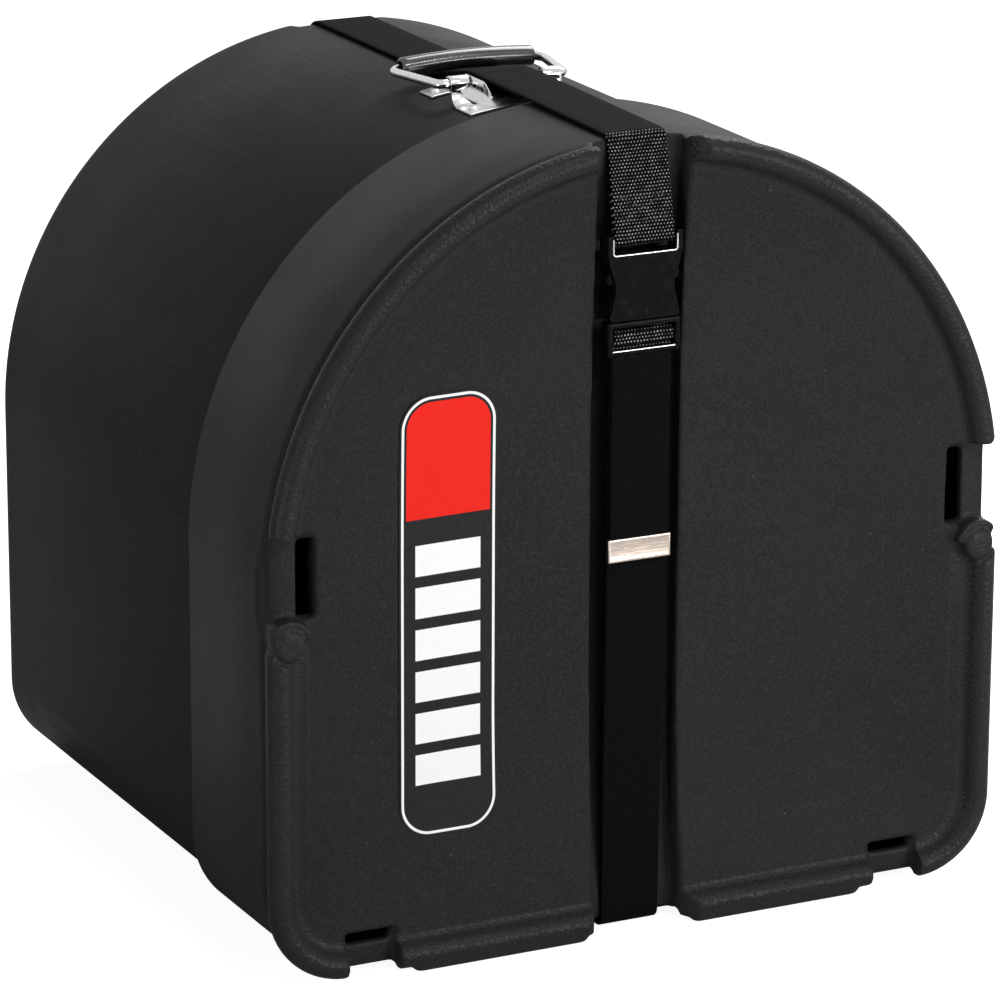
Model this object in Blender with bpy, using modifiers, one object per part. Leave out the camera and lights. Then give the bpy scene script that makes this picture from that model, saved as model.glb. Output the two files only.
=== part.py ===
"""Drum case: a round-topped moulded bucket, a telescoping lid, a webbing strap with a
side release buckle, and a wire bail handle on a saddle that the strap passes over.

The case stands on the floor at z = 0, centred on the origin. X is its width, the lid's
face looks along -Y, and depths are counted back from the lid's front crest.
"""

import math

import bmesh
import bpy
from mathutils import Matrix, Vector
from mathutils.bvhtree import BVHTree

# Case and lid, in metres
CASE_DEPTH = 0.441
ARC_HEIGHT = 0.2405
LID_RADIUS = 0.2358
LID_RISE = 0.0028
LID_DEPTH = 0.1234
CORNER_RADIUS = 0.056
BEAD_CORNER_RADIUS = 0.047
FOOT_DROP = 0.0053
WALL = 0.005
SLIDE_GAP = 0.0016
PART_GAP = 0.0003
RIM_SETBACK = 0.045
RIM_LEAD = 0.0015
BACK_ROUND = 0.013
CUT_OVERRUN = 0.010

# Lid face and the rolled bead round it
FACE_SETBACK = 0.009
FACE_DISH = 0.008
BEAD_WIDTH = 0.0156
BEAD_OVERHANG = 0.0022
BEAD_LENGTH = 0.020
GROOVE_DEPTH = 0.0012

# Strap channels in the lid's face and the bucket's back
CHANNEL_WIDTH = 0.057
CHANNEL_DEPTH = 0.0115
BACK_CHANNEL_DEPTH = 0.008
EDGE_ROUND = 0.004
BACK_EDGE_ROUND = 0.018

# Strap slots beside the lid's face, each in a notch of the bead
STRIP_SETBACK = 0.0125
STRIP_ROUND = 0.007
BOTTOM_STRIP_ROUND = 0.0035
NOTCH_MARGIN = 0.0025
SIDE_SLOT_HEIGHT = 0.2466
SIDE_SLOT_LENGTH = 0.046
SIDE_SLOT_WIDTH = 0.011
SIDE_SLOT_INSET = 0.0187
BOTTOM_SLOT_X = 0.1735
BOTTOM_SLOT_LENGTH = 0.028
BOTTOM_SLOT_WIDTH = 0.008
BOTTOM_SLOT_INSET = 0.0152
SHELF_MARGIN = 0.0038

# Round knob on the bead's end below each side notch
KNOB_RADIUS = 0.0092
KNOB_INSET = 0.0101
KNOB_DROP = 0.0095
KNOB_FRONT = 0.0004
KNOB_ROUND = 0.0026
KNOB_SEAT_DEPTH = 0.0055
KNOB_SEAT_LENGTH = 0.0195

# Moulded feet
FOOT_LENGTH = 0.1215
FOOT_SIDE_GAP = 0.002
FOOT_FRONT_DEPTH = 0.024
FOOT_REAR_DEPTH = 0.030
FOOT_REAR_SETBACK = 0.016
FOOT_ROUND = 0.005
FOOT_TAPER = 0.0045
FOOT_CREST_SETBACK = 0.0008

# Foam discs
LID_FOAM_INSET = 0.0372
BASE_FOAM_INSET = 0.018
FOAM_OVER_BOSS = 0.006

# Webbing
STRAP_WIDTH = 0.0381
STRAP_THICKNESS = 0.0018
STRAP_BEND = 0.0014
STRAP_SAG = 0.0022

# Buckle
BUCKLE_FRONT = 0.007
BUCKLE_THICKNESS = 0.011
BUCKLE_TOP_DROP = 0.0546
BUCKLE_HALF_WIDTH = 0.024
WEB_BAR_HEIGHT = 0.0044
WEB_BAR_THICKNESS = 0.0036
WEB_BAR_SETBACK = 0.0029
WEB_SLOT_HEIGHT = 0.007
WEB_SIDE_GAP = 0.0012
SOCKET_LENGTH = 0.039
SOCKET_BLOCK = 0.0075
PLATE_THICKNESS = 0.0022
LATCH_GAP = 0.0004
SOCKET_PLUG_GAP = 0.0005

# Plug
PLUG_HALF_WIDTH = 0.0235
PLUG_LENGTH = 0.0205
PLUG_THICKNESS = 0.0098
PLUG_HEAD = 0.0032
TOP_SLOT = 0.0045
LADDER_BAR_HEIGHT = 0.0042
LADDER_BAR_THICKNESS = 0.0024
LADDER_BAR_SETBACK = 0.0022
LOWER_BAR_HEIGHT = 0.0040
LOWER_BAR_SETBACK = 0.0006
TONGUE_HALF_WIDTH = 0.005
TONGUE_LENGTH = 0.027
PRONG_LENGTH = 0.0285
PRONG_ROOT_RADIUS = 0.0023
PRONG_ROOT_X = 0.0188
BUCKLE_EDGE = 0.0007

# Metal tip on the strap's tail
TAIL_LENGTH = 0.123
TIP_HEIGHT = 0.014
TIP_SHEET = 0.0006
TIP_SIDE = 0.0009
TAIL_SLOPE_OUT = 0.0006

# Handle
PIVOT_DEPTH = 0.183
PIVOT_RISE = 0.0103
SADDLE_HALF_WIDTH = 0.045
SADDLE_FRONT_REACH = 0.031
SADDLE_BACK_REACH = 0.039
SADDLE_SHEET = 0.0015
HAT_RISE = 0.011
HAT_FRONT_REACH = 0.005
HAT_BACK_REACH = 0.017
HAT_RAMP = 0.014
HAT_SIDE_GAP = 0.005
HAT_SIDE_RAMP = 0.004
EAR_GAP = 0.009
EAR_WIDTH = 0.012
EAR_FOOT_REACH = 0.020
EAR_BEND = 0.005
WIRE_RADIUS = 0.00275
EYE_CLEARANCE = 0.0002
BAIL_PIN_X = 0.046
BAIL_CORNER_X = 0.0526
BAIL_REACH = 0.058
BAIL_PIN_BEND = 0.0045
BAIL_CORNER_BEND = 0.008
BAIL_RISE = 0.0005
GRIP_RADIUS = 0.0062
GRIP_LENGTH = 0.088
GRIP_END_ROUND = 0.0012

# Blank sticker on the lid's face
LABEL_X = -0.121
LABEL_HEIGHT = 0.2115
LABEL_WIDTH = 0.063
LABEL_LENGTH = 0.265
LABEL_ROUND = 0.020
LABEL_THICKNESS = 0.0004

# Counts
ARC_STEPS = 40
CORNER_STEPS = 6
ROUND_STEPS = 4
BEND_STEPS = 6
EYE_STEPS = 18
GRIP_STEPS = 20
SADDLE_COLUMNS = 24
SADDLE_ROWS = 20
KNOB_STEPS = 20
LABEL_COLUMNS = 6
LABEL_ROWS = 32

# Shares of the sizes above, as drawn by hand
CORNER_SHARE = 0.12
BOSS_LAP_SHARE = 0.8
FACE_SHARES = [(0.0, 0.0), (0.14, 0.38), (0.30, 0.68), (0.50, 0.90), (0.72, 1.0)]
BEAD_FRONT_SHARES = [(0.10, 0.80), (0.20, 0.42), (0.34, 0.12), (0.52, 0.0),
                     (0.70, 0.03), (0.86, 0.20), (0.96, 0.48), (1.0, 0.80)]
BEAD_BACK_SHARES = [(0.75, 0.53), (-0.10, 0.66)]
GROOVE_SHARE = 0.77
GROOVE_END_SHARES = (0.5, 0.89)
SOCKET_SIDE_SHARES = [(1.0, 0.0), (0.90, 0.24), (0.81, 0.40), (0.79, 0.55),
                      (0.88, 0.80), (0.93, 0.94), (0.90, 1.0)]
PRONG_SHARES = [(0.18, 0.22), (0.08, 0.36), (-0.10, 0.55), (-0.16, 0.64), (0.34, 0.70),
                (0.38, 0.82), (0.20, 0.94), (-0.12, 1.0), (-0.48, 0.97), (-0.62, 0.74),
                (-0.52, 0.46), (-0.30, 0.20)]

# Worked out from the sizes above
LID_TOP = ARC_HEIGHT + LID_RADIUS + LID_RISE
LID_BOTTOM = FOOT_DROP
BODY_INSET = WALL + SLIDE_GAP
BODY_RADIUS = LID_RADIUS - BODY_INSET
BODY_TOP = ARC_HEIGHT + BODY_RADIUS
BODY_BOTTOM = LID_BOTTOM + BODY_INSET
CHANNEL_HALF = CHANNEL_WIDTH / 2
BOSS_HALF = CHANNEL_HALF + WALL
STRAP_HALF = STRAP_WIDTH / 2
STRAP_LIFT = PART_GAP + STRAP_THICKNESS / 2
SHELF_DEPTH = STRIP_SETBACK + WALL + SLIDE_GAP
CHANNEL_START = FACE_SETBACK + CHANNEL_DEPTH
BACK_FLOOR = CASE_DEPTH - BACK_CHANNEL_DEPTH
BUCKLE_BACK = BUCKLE_FRONT + BUCKLE_THICKNESS
BUCKLE_TOP = LID_TOP - BUCKLE_TOP_DROP
WEB_BAR_BOTTOM = BUCKLE_TOP - WEB_BAR_HEIGHT
SOCKET_TOP = WEB_BAR_BOTTOM - WEB_SLOT_HEIGHT
SOCKET_MOUTH = SOCKET_TOP - SOCKET_LENGTH
WEB_OPENING_HALF = STRAP_HALF + WEB_SIDE_GAP
PLUG_TOP = SOCKET_MOUTH - SOCKET_PLUG_GAP
PLUG_BOTTOM = PLUG_TOP - PLUG_LENGTH
PLUG_FRONT = BUCKLE_FRONT + LATCH_GAP
PLUG_BACK = PLUG_FRONT + PLUG_THICKNESS
LADDER_BAR_TOP = PLUG_TOP - PLUG_HEAD - TOP_SLOT
LADDER_BAR_FRONT = PLUG_FRONT + LADDER_BAR_SETBACK
LADDER_BAR_BACK = LADDER_BAR_FRONT + LADDER_BAR_THICKNESS
LOWER_BAR_TOP = PLUG_BOTTOM + LOWER_BAR_HEIGHT
LOWER_BAR_FRONT = PLUG_FRONT + LOWER_BAR_SETBACK
LOWER_BAR_BACK = LOWER_BAR_FRONT + LADDER_BAR_THICKNESS
TAIL_DEPTH = LOWER_BAR_BACK + STRAP_LIFT
LOAD_DEPTH = TAIL_DEPTH + STRAP_THICKNESS + PART_GAP
PIVOT_HEIGHT = BODY_TOP + PIVOT_RISE
HAT_TOP = BODY_TOP + HAT_RISE
HAT_FRONT = PIVOT_DEPTH - HAT_FRONT_REACH
HAT_BACK = PIVOT_DEPTH + HAT_BACK_REACH
HAT_MIDDLE = (HAT_FRONT + HAT_BACK) / 2
EYE_RADIUS = WIRE_RADIUS + EYE_CLEARANCE
EAR_X = STRAP_HALF + EAR_GAP + EAR_WIDTH / 2
GRIP_DEPTH = PIVOT_DEPTH + BAIL_REACH
GRIP_HEIGHT = PIVOT_HEIGHT + BAIL_RISE

PLASTIC_BLACK = (0.030, 0.031, 0.033)
WEBBING_BLACK = (0.012, 0.012, 0.013)
BUCKLE_BLACK = (0.008, 0.008, 0.009)
FOAM_GREY = (0.10, 0.10, 0.11)
CHROME = (0.80, 0.80, 0.80)
VINYL_BLACK = (0.012, 0.012, 0.012)


def clear_scene():
    for item in list(bpy.data.objects):
        bpy.data.objects.remove(item, do_unlink=True)


def new_collection(name):
    group = bpy.data.collections.new(name)
    bpy.context.scene.collection.children.link(group)
    return group


def material(name, colour, roughness, metallic=0.0):
    found = bpy.data.materials.get(name) or bpy.data.materials.new(name)
    found.use_nodes = True
    shader = found.node_tree.nodes["Principled BSDF"]
    shader.inputs["Base Color"].default_value = (*colour, 1.0)
    shader.inputs["Roughness"].default_value = roughness
    shader.inputs["Metallic"].default_value = metallic
    return found


def back(depth):
    """Y of a point that lies this far behind the lid's front crest."""
    return depth - CASE_DEPTH / 2


def object_from(bm, name, group, finish=None, origin=(0, 0, 0), smooth=True):
    """Turns a bmesh in world coordinates into an object whose origin is given."""
    bmesh.ops.recalc_face_normals(bm, faces=bm.faces)
    bmesh.ops.translate(bm, verts=bm.verts, vec=-Vector(origin))
    mesh = bpy.data.meshes.new(name)
    bm.to_mesh(mesh)
    bm.free()
    if smooth:
        mesh.shade_smooth()
        mesh.set_sharp_from_angle(angle=math.radians(35))
    piece = bpy.data.objects.new(name, mesh)
    piece.location = origin
    group.objects.link(piece)
    if finish:
        mesh.materials.append(finish)
    return piece


def as_cutter(piece):
    piece.hide_render = True
    piece.display_type = "WIRE"
    return piece


def combine(piece, other, operation):
    """Adds an exact Boolean of one object with another."""
    step = piece.modifiers.new(f"{operation.lower()} {other.name}", "BOOLEAN")
    step.operation = operation
    step.solver = "EXACT"
    step.object = other
    return step


def bevel(piece, width, segments, angle=40):
    step = piece.modifiers.new("soft edges", "BEVEL")
    step.width = width
    step.segments = segments
    step.limit_method = "ANGLE"
    step.angle_limit = math.radians(angle)
    return step


def arc(centre, radius, start, end, steps):
    """Points on an arc in a plane, from one angle to another in degrees."""
    points = []
    for step in range(steps + 1):
        turn = math.radians(start + (end - start) * step / steps)
        points.append((centre[0] + radius * math.cos(turn), centre[1] + radius * math.sin(turn)))
    return points


def rounded_path(points, radius, steps=BEND_STEPS):
    """An open path whose corners are replaced with arcs of the radius."""
    path = [Vector(points[0])]
    for before, corner, after in zip(points, points[1:], points[2:]):
        corner = Vector(corner)
        inward = (Vector(before) - corner).normalized()
        outward = (Vector(after) - corner).normalized()
        half = inward.angle(outward) / 2
        reach = radius / math.tan(half)
        centre = corner + (inward + outward).normalized() * radius / math.sin(half)
        first = corner + inward * reach - centre
        last = corner + outward * reach - centre
        first = first.to_3d().normalized()
        last = last.to_3d().normalized()
        for step in range(steps + 1):
            turned = first.slerp(last, step / steps) * radius
            path.append(centre + turned.resized(len(centre)))
    path.append(Vector(points[-1]))
    return path


def prism(bm, outline, low, high, place):
    """A closed outline carried from low to high; place turns a point into 3-D."""
    start = [bm.verts.new(place(u, v, low)) for u, v in outline]
    face = bm.faces.new(start)
    grown = bmesh.ops.extrude_face_region(bm, geom=[face])
    moved = [item for item in grown["geom"] if isinstance(item, bmesh.types.BMVert)]
    shift = Vector(place(0, 0, high)) - Vector(place(0, 0, low))
    bmesh.ops.translate(bm, verts=moved, vec=shift)


def across(depth, height, x):
    """A side outline (depth, height) carried along X."""
    return (x, back(depth), height)


def along_height(x, depth, height):
    """A plan outline (x, depth) carried up Z."""
    return (x, back(depth), height)


def through(x, height, depth):
    """A front outline (x, height) carried back along Y."""
    return (x, back(depth), height)


def ribbon_outline(path, thickness):
    """The side outline of webbing or sheet that follows a path at its middle."""
    path = [Vector(point) for point in path]
    near, far = [], []
    for index, point in enumerate(path):
        before = path[max(index - 1, 0)]
        after = path[min(index + 1, len(path) - 1)]
        ahead = (after - before).normalized()
        if 0 < index < len(path) - 1:
            inward = (point - before).normalized()
            outward = (after - point).normalized()
            ahead = (inward + outward).normalized()
            stretch = 1 / max(ahead.dot(inward), 0.5)
        else:
            stretch = 1
        side = Vector((-ahead.y, ahead.x)) * thickness / 2 * stretch
        near.append(tuple(point + side))
        far.append(tuple(point - side))
    return near + far[::-1]


def webbing(name, path, group, half=STRAP_HALF, origin=(0, 0, 0)):
    bm = bmesh.new()
    prism(bm, ribbon_outline(path, STRAP_THICKNESS), -half, half, across)
    finish = material("webbing", WEBBING_BLACK, 0.85)
    return object_from(bm, name, group, finish, origin)


def smooth_step(value):
    value = min(max(value, 0), 1)
    return value * value * (3 - 2 * value)


def corner_at(depth):
    """The lower corners are tighter on the bead than on the walls behind it."""
    share = smooth_step(2 * depth / BEAD_LENGTH - 1)
    return BEAD_CORNER_RADIUS + (CORNER_RADIUS - BEAD_CORNER_RADIUS) * share


def case_outline(inset, depth, rise):
    """The case's front outline drawn in by the inset: round top, flat bottom."""
    half = LID_RADIUS - inset
    low = LID_BOTTOM + inset
    corner = max(corner_at(depth) - inset, half * CORNER_SHARE)
    arch = 1 + rise / half
    points = arc((0, 0), half, 0, 180, ARC_STEPS)
    points = [(x, ARC_HEIGHT + z * arch) for x, z in points]
    points += arc((corner - half, low + corner), corner, 180, 270, CORNER_STEPS)
    points += arc((half - corner, low + corner), corner, 270, 360, CORNER_STEPS)
    return points


def loft(bm, sections, rise=0.0):
    """A closed skin through case outlines, each an (inset, depth) pair."""
    rings = []
    for inset, depth in sections:
        outline = case_outline(inset, depth, rise)
        rings.append([bm.verts.new((x, back(depth), z)) for x, z in outline])
    for ring, following in zip(rings, rings[1:]):
        for index in range(len(ring)):
            after = (index + 1) % len(ring)
            bm.faces.new((ring[index], ring[after], following[after], following[index]))
    bm.faces.new(rings[0])
    bm.faces.new(rings[-1])


def face_sections(extra_depth):
    """Sections of the dished face from its edge towards its middle."""
    reach = LID_RADIUS - BEAD_WIDTH
    edge = FACE_SETBACK + extra_depth
    return [(BEAD_WIDTH + across_share * reach, edge + depth_share * FACE_DISH)
            for across_share, depth_share in FACE_SHARES]


def dish_at(inset):
    """How far the face has sunk at this inset from the lid's outline."""
    sections = face_sections(0)
    if inset <= sections[0][0]:
        return 0
    for (near, near_depth), (far, far_depth) in zip(sections, sections[1:]):
        if inset <= far:
            share = (inset - near) / (far - near)
            return near_depth + (far_depth - near_depth) * share - FACE_SETBACK
    return FACE_DISH


def face_heights():
    """Heights on the lid's middle line where the face's slope changes, upwards."""
    insets = [inset for inset, _ in face_sections(0)]
    rising = [LID_BOTTOM + inset for inset in insets]
    falling = [LID_TOP - inset for inset in reversed(insets)]
    middle = (LID_BOTTOM + LID_TOP) / 2
    return [z for z in rising if z < middle] + [z for z in falling if z > middle]


def face_depth(height):
    inset = min(height - LID_BOTTOM, LID_TOP - height)
    return FACE_SETBACK + dish_at(inset)


def bead_sections():
    """The rolled bead from the face's edge, over its crest, to the plain wall."""
    width = BEAD_WIDTH + BEAD_OVERHANG
    sections = [(BEAD_WIDTH - share * width, setback * FACE_SETBACK)
                for share, setback in BEAD_FRONT_SHARES]
    sections += [(-out * BEAD_OVERHANG, share * BEAD_LENGTH) for out, share in BEAD_BACK_SHARES]
    end_in, end_back = GROOVE_END_SHARES
    sections.append((GROOVE_DEPTH, GROOVE_SHARE * BEAD_LENGTH))
    sections.append((GROOVE_DEPTH * end_in, end_back * BEAD_LENGTH))
    sections.append((0, BEAD_LENGTH))
    return sections


def lid_sections():
    outer = list(reversed(face_sections(0))) + bead_sections()
    outer += [(0, LID_DEPTH - RIM_LEAD), (RIM_LEAD, LID_DEPTH)]
    shelf_end = SIDE_SLOT_INSET + SIDE_SLOT_WIDTH + SHELF_MARGIN
    inner = [(WALL, LID_DEPTH), (WALL, SHELF_DEPTH + BODY_INSET),
             (WALL + BODY_INSET, SHELF_DEPTH), (shelf_end, SHELF_DEPTH)]
    inner += [section for section in face_sections(WALL) if section[0] > shelf_end + WALL]
    return outer + inner


def channel_outline(overrun):
    """Side outline of what the lid's channel removes, rounded where the strap turns."""
    turn = CHANNEL_START + EDGE_ROUND
    low, high = LID_BOTTOM + EDGE_ROUND, LID_TOP - EDGE_ROUND
    outline = [(-overrun, LID_BOTTOM - overrun), (turn, LID_BOTTOM - overrun)]
    outline += arc((turn, low), EDGE_ROUND, 270, 180, BEND_STEPS)
    outline += [(face_depth(z) + CHANNEL_DEPTH, z) for z in face_heights()]
    outline += arc((turn, high), EDGE_ROUND, 180, 90, BEND_STEPS)
    outline += [(turn, LID_TOP + overrun), (-overrun, LID_TOP + overrun)]
    return outline


def lid_boss_outline():
    """Side outline of the wall that stands inside the lid behind its channel."""
    drop = LID_RADIUS - math.sqrt(LID_RADIUS ** 2 - BOSS_HALF ** 2)
    top = LID_TOP - drop - WALL / 4
    low = LID_BOTTOM + WALL / 2
    heights = [low] + face_heights() + [top]
    outline = [(face_depth(z) + WALL / 2, z) for z in heights]
    outline += [(face_depth(z) + CHANNEL_DEPTH + WALL, z) for z in reversed(heights)]
    return outline


def notch_outline(inner, edge):
    """Plan of a notch: inset from the wall, depth. It leaves a flat strip with a round edge."""
    outline = [(inner, -CUT_OVERRUN), (inner, STRIP_SETBACK)]
    outline += arc((edge, STRIP_SETBACK + edge), edge, 270, 180, BEND_STEPS)
    outline += [(-CUT_OVERRUN, STRIP_SETBACK + edge), (-CUT_OVERRUN, -CUT_OVERRUN)]
    return outline


def box(bm, low, high):
    """A box between two corners."""
    made = bmesh.ops.create_cube(bm, size=1)["verts"]
    size = Vector(high) - Vector(low)
    bmesh.ops.scale(bm, verts=made, vec=size)
    bmesh.ops.translate(bm, verts=made, vec=(Vector(low) + Vector(high)) / 2)
    return made


def lid_notches(cutters):
    bm = bmesh.new()
    half = SIDE_SLOT_LENGTH / 2 + NOTCH_MARGIN
    side_plan = notch_outline(SIDE_SLOT_INSET + SIDE_SLOT_WIDTH, STRIP_ROUND)
    bottom_plan = notch_outline(BOTTOM_SLOT_INSET + BOTTOM_SLOT_WIDTH, BOTTOM_STRIP_ROUND)
    for side in (-1, 1):
        plan = [(side * (LID_RADIUS - inset), depth) for inset, depth in side_plan]
        prism(bm, plan, SIDE_SLOT_HEIGHT - half, SIDE_SLOT_HEIGHT + half, along_height)
        low = side * BOTTOM_SLOT_X - BOTTOM_SLOT_LENGTH / 2 - NOTCH_MARGIN
        high = side * BOTTOM_SLOT_X + BOTTOM_SLOT_LENGTH / 2 + NOTCH_MARGIN
        view = [(depth, LID_BOTTOM + inset) for inset, depth in bottom_plan]
        prism(bm, view, low, high, across)
    return as_cutter(object_from(bm, "cut_notches", cutters))


def notch_low():
    """Height of the lower end of the side notches."""
    return SIDE_SLOT_HEIGHT - SIDE_SLOT_LENGTH / 2 - NOTCH_MARGIN


def knob_seats(cutters):
    """Shallow steps in the bead round the two knobs."""
    bm = bmesh.new()
    high = notch_low() + NOTCH_MARGIN / 2
    for side in (-1, 1):
        ends = sorted((side * (LID_RADIUS - KNOB_SEAT_LENGTH), side * (LID_RADIUS + CUT_OVERRUN)))
        box(bm, (ends[0], back(-CUT_OVERRUN), notch_low() - KNOB_SEAT_LENGTH),
            (ends[1], back(KNOB_SEAT_DEPTH), high))
    return as_cutter(object_from(bm, "cut_knob_seats", cutters))


def knobs(cutters):
    bm = bmesh.new()
    height = notch_low() - KNOB_DROP
    length = STRIP_SETBACK - KNOB_FRONT
    for side in (-1, 1):
        made = bmesh.ops.create_cone(bm, cap_ends=True, segments=KNOB_STEPS, radius1=KNOB_RADIUS,
                                     radius2=KNOB_RADIUS, depth=length)["verts"]
        bmesh.ops.rotate(bm, verts=made, matrix=Matrix.Rotation(math.radians(90), 3, "X"))
        place = (side * (LID_RADIUS - KNOB_INSET), back(KNOB_FRONT + length / 2), height)
        bmesh.ops.translate(bm, verts=made, vec=place)
    piece = as_cutter(object_from(bm, "add_knobs", cutters))
    bevel(piece, KNOB_ROUND, 3)
    return piece


def lid_slots(cutters):
    bm = bmesh.new()
    front, rear = back(0), back(SHELF_DEPTH + WALL)
    for side in (-1, 1):
        outer = LID_RADIUS - SIDE_SLOT_INSET
        edges = sorted((side * outer, side * (outer - SIDE_SLOT_WIDTH)))
        half = SIDE_SLOT_LENGTH / 2
        box(bm, (edges[0], front, SIDE_SLOT_HEIGHT - half),
            (edges[1], rear, SIDE_SLOT_HEIGHT + half))
        low = LID_BOTTOM + BOTTOM_SLOT_INSET
        half = BOTTOM_SLOT_LENGTH / 2
        box(bm, (side * BOTTOM_SLOT_X - half, front, low),
            (side * BOTTOM_SLOT_X + half, rear, low + BOTTOM_SLOT_WIDTH))
    return as_cutter(object_from(bm, "cut_slots", cutters))


def feet(name, start, depth, top, cutters):
    """Two moulded feet, one each side of the strap, from the floor to a height."""
    bm = bmesh.new()
    inner = CHANNEL_HALF + FOOT_SIDE_GAP
    for side in (-1, 1):
        ends = sorted((side * inner, side * (inner + FOOT_LENGTH)))
        made = box(bm, (ends[0], back(start), 0), (ends[1], back(start + depth), top))
        middle = (ends[0] + ends[1]) / 2
        for vertex in made:
            if vertex.co.z < top / 2:
                vertex.co.x += math.copysign(FOOT_TAPER, middle - vertex.co.x)
    piece = as_cutter(object_from(bm, name, cutters))
    bevel(piece, FOOT_ROUND, 3)
    return piece


def make_lid_shell(parts, cutters):
    bm = bmesh.new()
    loft(bm, lid_sections(), LID_RISE)
    skin = BVHTree.FromBMesh(bm)
    shell = object_from(bm, "lid_shell", parts, material("moulded_plastic", PLASTIC_BLACK, 0.5))

    bm = bmesh.new()
    prism(bm, lid_boss_outline(), -BOSS_HALF, BOSS_HALF, across)
    combine(shell, as_cutter(object_from(bm, "add_lid_boss", cutters)), "UNION")
    foot_top = LID_BOTTOM + BEAD_WIDTH - FOOT_ROUND
    combine(shell, feet("add_lid_feet", FOOT_CREST_SETBACK, FOOT_FRONT_DEPTH, foot_top, cutters),
            "UNION")

    bm = bmesh.new()
    prism(bm, channel_outline(CUT_OVERRUN), -CHANNEL_HALF, CHANNEL_HALF, across)
    combine(shell, as_cutter(object_from(bm, "cut_lid_channel", cutters)), "DIFFERENCE")
    combine(shell, lid_notches(cutters), "DIFFERENCE")
    combine(shell, knob_seats(cutters), "DIFFERENCE")
    combine(shell, knobs(cutters), "UNION")
    combine(shell, lid_slots(cutters), "DIFFERENCE")
    return shell, skin


def make_label(parts, skin):
    """A thin sticker with round corners that follows the face's dish."""
    bm = bmesh.new()
    bmesh.ops.create_grid(bm, x_segments=LABEL_COLUMNS, y_segments=LABEL_ROWS, size=0.5)
    inner = LABEL_LENGTH / 2 - LABEL_ROUND
    for vertex in bm.verts:
        rise = math.sin(vertex.co.y * math.pi) * LABEL_LENGTH / 2
        past = max(abs(rise) - inner, 0)
        half = LABEL_WIDTH / 2 - LABEL_ROUND + math.sqrt(max(LABEL_ROUND ** 2 - past ** 2, 0))
        x = LABEL_X + vertex.co.x * 2 * half
        place = (x, back(-CUT_OVERRUN), LABEL_HEIGHT + rise)
        hit = skin.ray_cast(place, (0, 1, 0))[0]
        vertex.co = (x, hit.y - PART_GAP - LABEL_THICKNESS, place[2])
    grown = bmesh.ops.extrude_face_region(bm, geom=bm.faces)
    moved = [item for item in grown["geom"] if isinstance(item, bmesh.types.BMVert)]
    bmesh.ops.translate(bm, verts=moved, vec=(0, LABEL_THICKNESS, 0))
    return object_from(bm, "face_label", parts, material("vinyl", VINYL_BLACK, 0.35))


def body_sections():
    round_in = arc((BODY_INSET + BACK_ROUND, CASE_DEPTH - BACK_ROUND), BACK_ROUND, 90, 180,
                   ROUND_STEPS)
    inner_inset = BODY_INSET + WALL
    inner_round = BACK_ROUND - WALL
    hollow = arc((inner_inset + inner_round, CASE_DEPTH - BACK_ROUND), inner_round, 180, 90,
                 ROUND_STEPS)
    rim = [(BODY_INSET, RIM_SETBACK + RIM_LEAD), (BODY_INSET + RIM_LEAD, RIM_SETBACK),
           (inner_inset, RIM_SETBACK)]
    return round_in + rim + hollow


def back_channel_outline():
    turn = BACK_FLOOR - BACK_EDGE_ROUND
    low, high = BODY_BOTTOM + BACK_EDGE_ROUND, BODY_TOP - BACK_EDGE_ROUND
    far = CASE_DEPTH + CUT_OVERRUN
    outline = [(far, BODY_BOTTOM - CUT_OVERRUN), (turn, BODY_BOTTOM - CUT_OVERRUN)]
    outline += arc((turn, low), BACK_EDGE_ROUND, 270, 360, BEND_STEPS)
    outline += arc((turn, high), BACK_EDGE_ROUND, 0, 90, BEND_STEPS)
    outline += [(turn, BODY_TOP + CUT_OVERRUN), (far, BODY_TOP + CUT_OVERRUN)]
    return outline


def back_boss_outline():
    """Side outline of the wall inside the bucket behind its strap channel."""
    lap = WALL * BOSS_LAP_SHARE
    far = CASE_DEPTH - lap
    chamfer = BACK_ROUND - lap
    top, low = BODY_TOP - lap, BODY_BOTTOM + lap
    turn = BACK_FLOOR - BACK_EDGE_ROUND
    inner = BACK_EDGE_ROUND - WALL
    outline = arc((turn, BODY_TOP - BACK_EDGE_ROUND), inner, 90, 0, BEND_STEPS)
    outline += arc((turn, BODY_BOTTOM + BACK_EDGE_ROUND), inner, 0, -90, BEND_STEPS)
    outline += [(turn, low), (far - chamfer, low), (far, low + chamfer)]
    return outline + [(far, top - chamfer), (far - chamfer, top), (turn, top)]


def make_body_shell(parts, cutters):
    bm = bmesh.new()
    loft(bm, body_sections())
    shell = object_from(bm, "body_shell", parts, material("moulded_plastic", PLASTIC_BLACK, 0.5))

    bm = bmesh.new()
    prism(bm, back_boss_outline(), -BOSS_HALF, BOSS_HALF, across)
    combine(shell, as_cutter(object_from(bm, "add_back_boss", cutters)), "UNION")
    start = CASE_DEPTH - FOOT_REAR_SETBACK - FOOT_REAR_DEPTH
    foot_top = BODY_BOTTOM + WALL / 2
    rear = feet("add_rear_feet", start, FOOT_REAR_DEPTH, foot_top + FOOT_ROUND, cutters)
    combine(shell, rear, "UNION")

    bm = bmesh.new()
    prism(bm, back_channel_outline(), -CHANNEL_HALF, CHANNEL_HALF, across)
    combine(shell, as_cutter(object_from(bm, "cut_back_channel", cutters)), "DIFFERENCE")
    return shell


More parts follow.
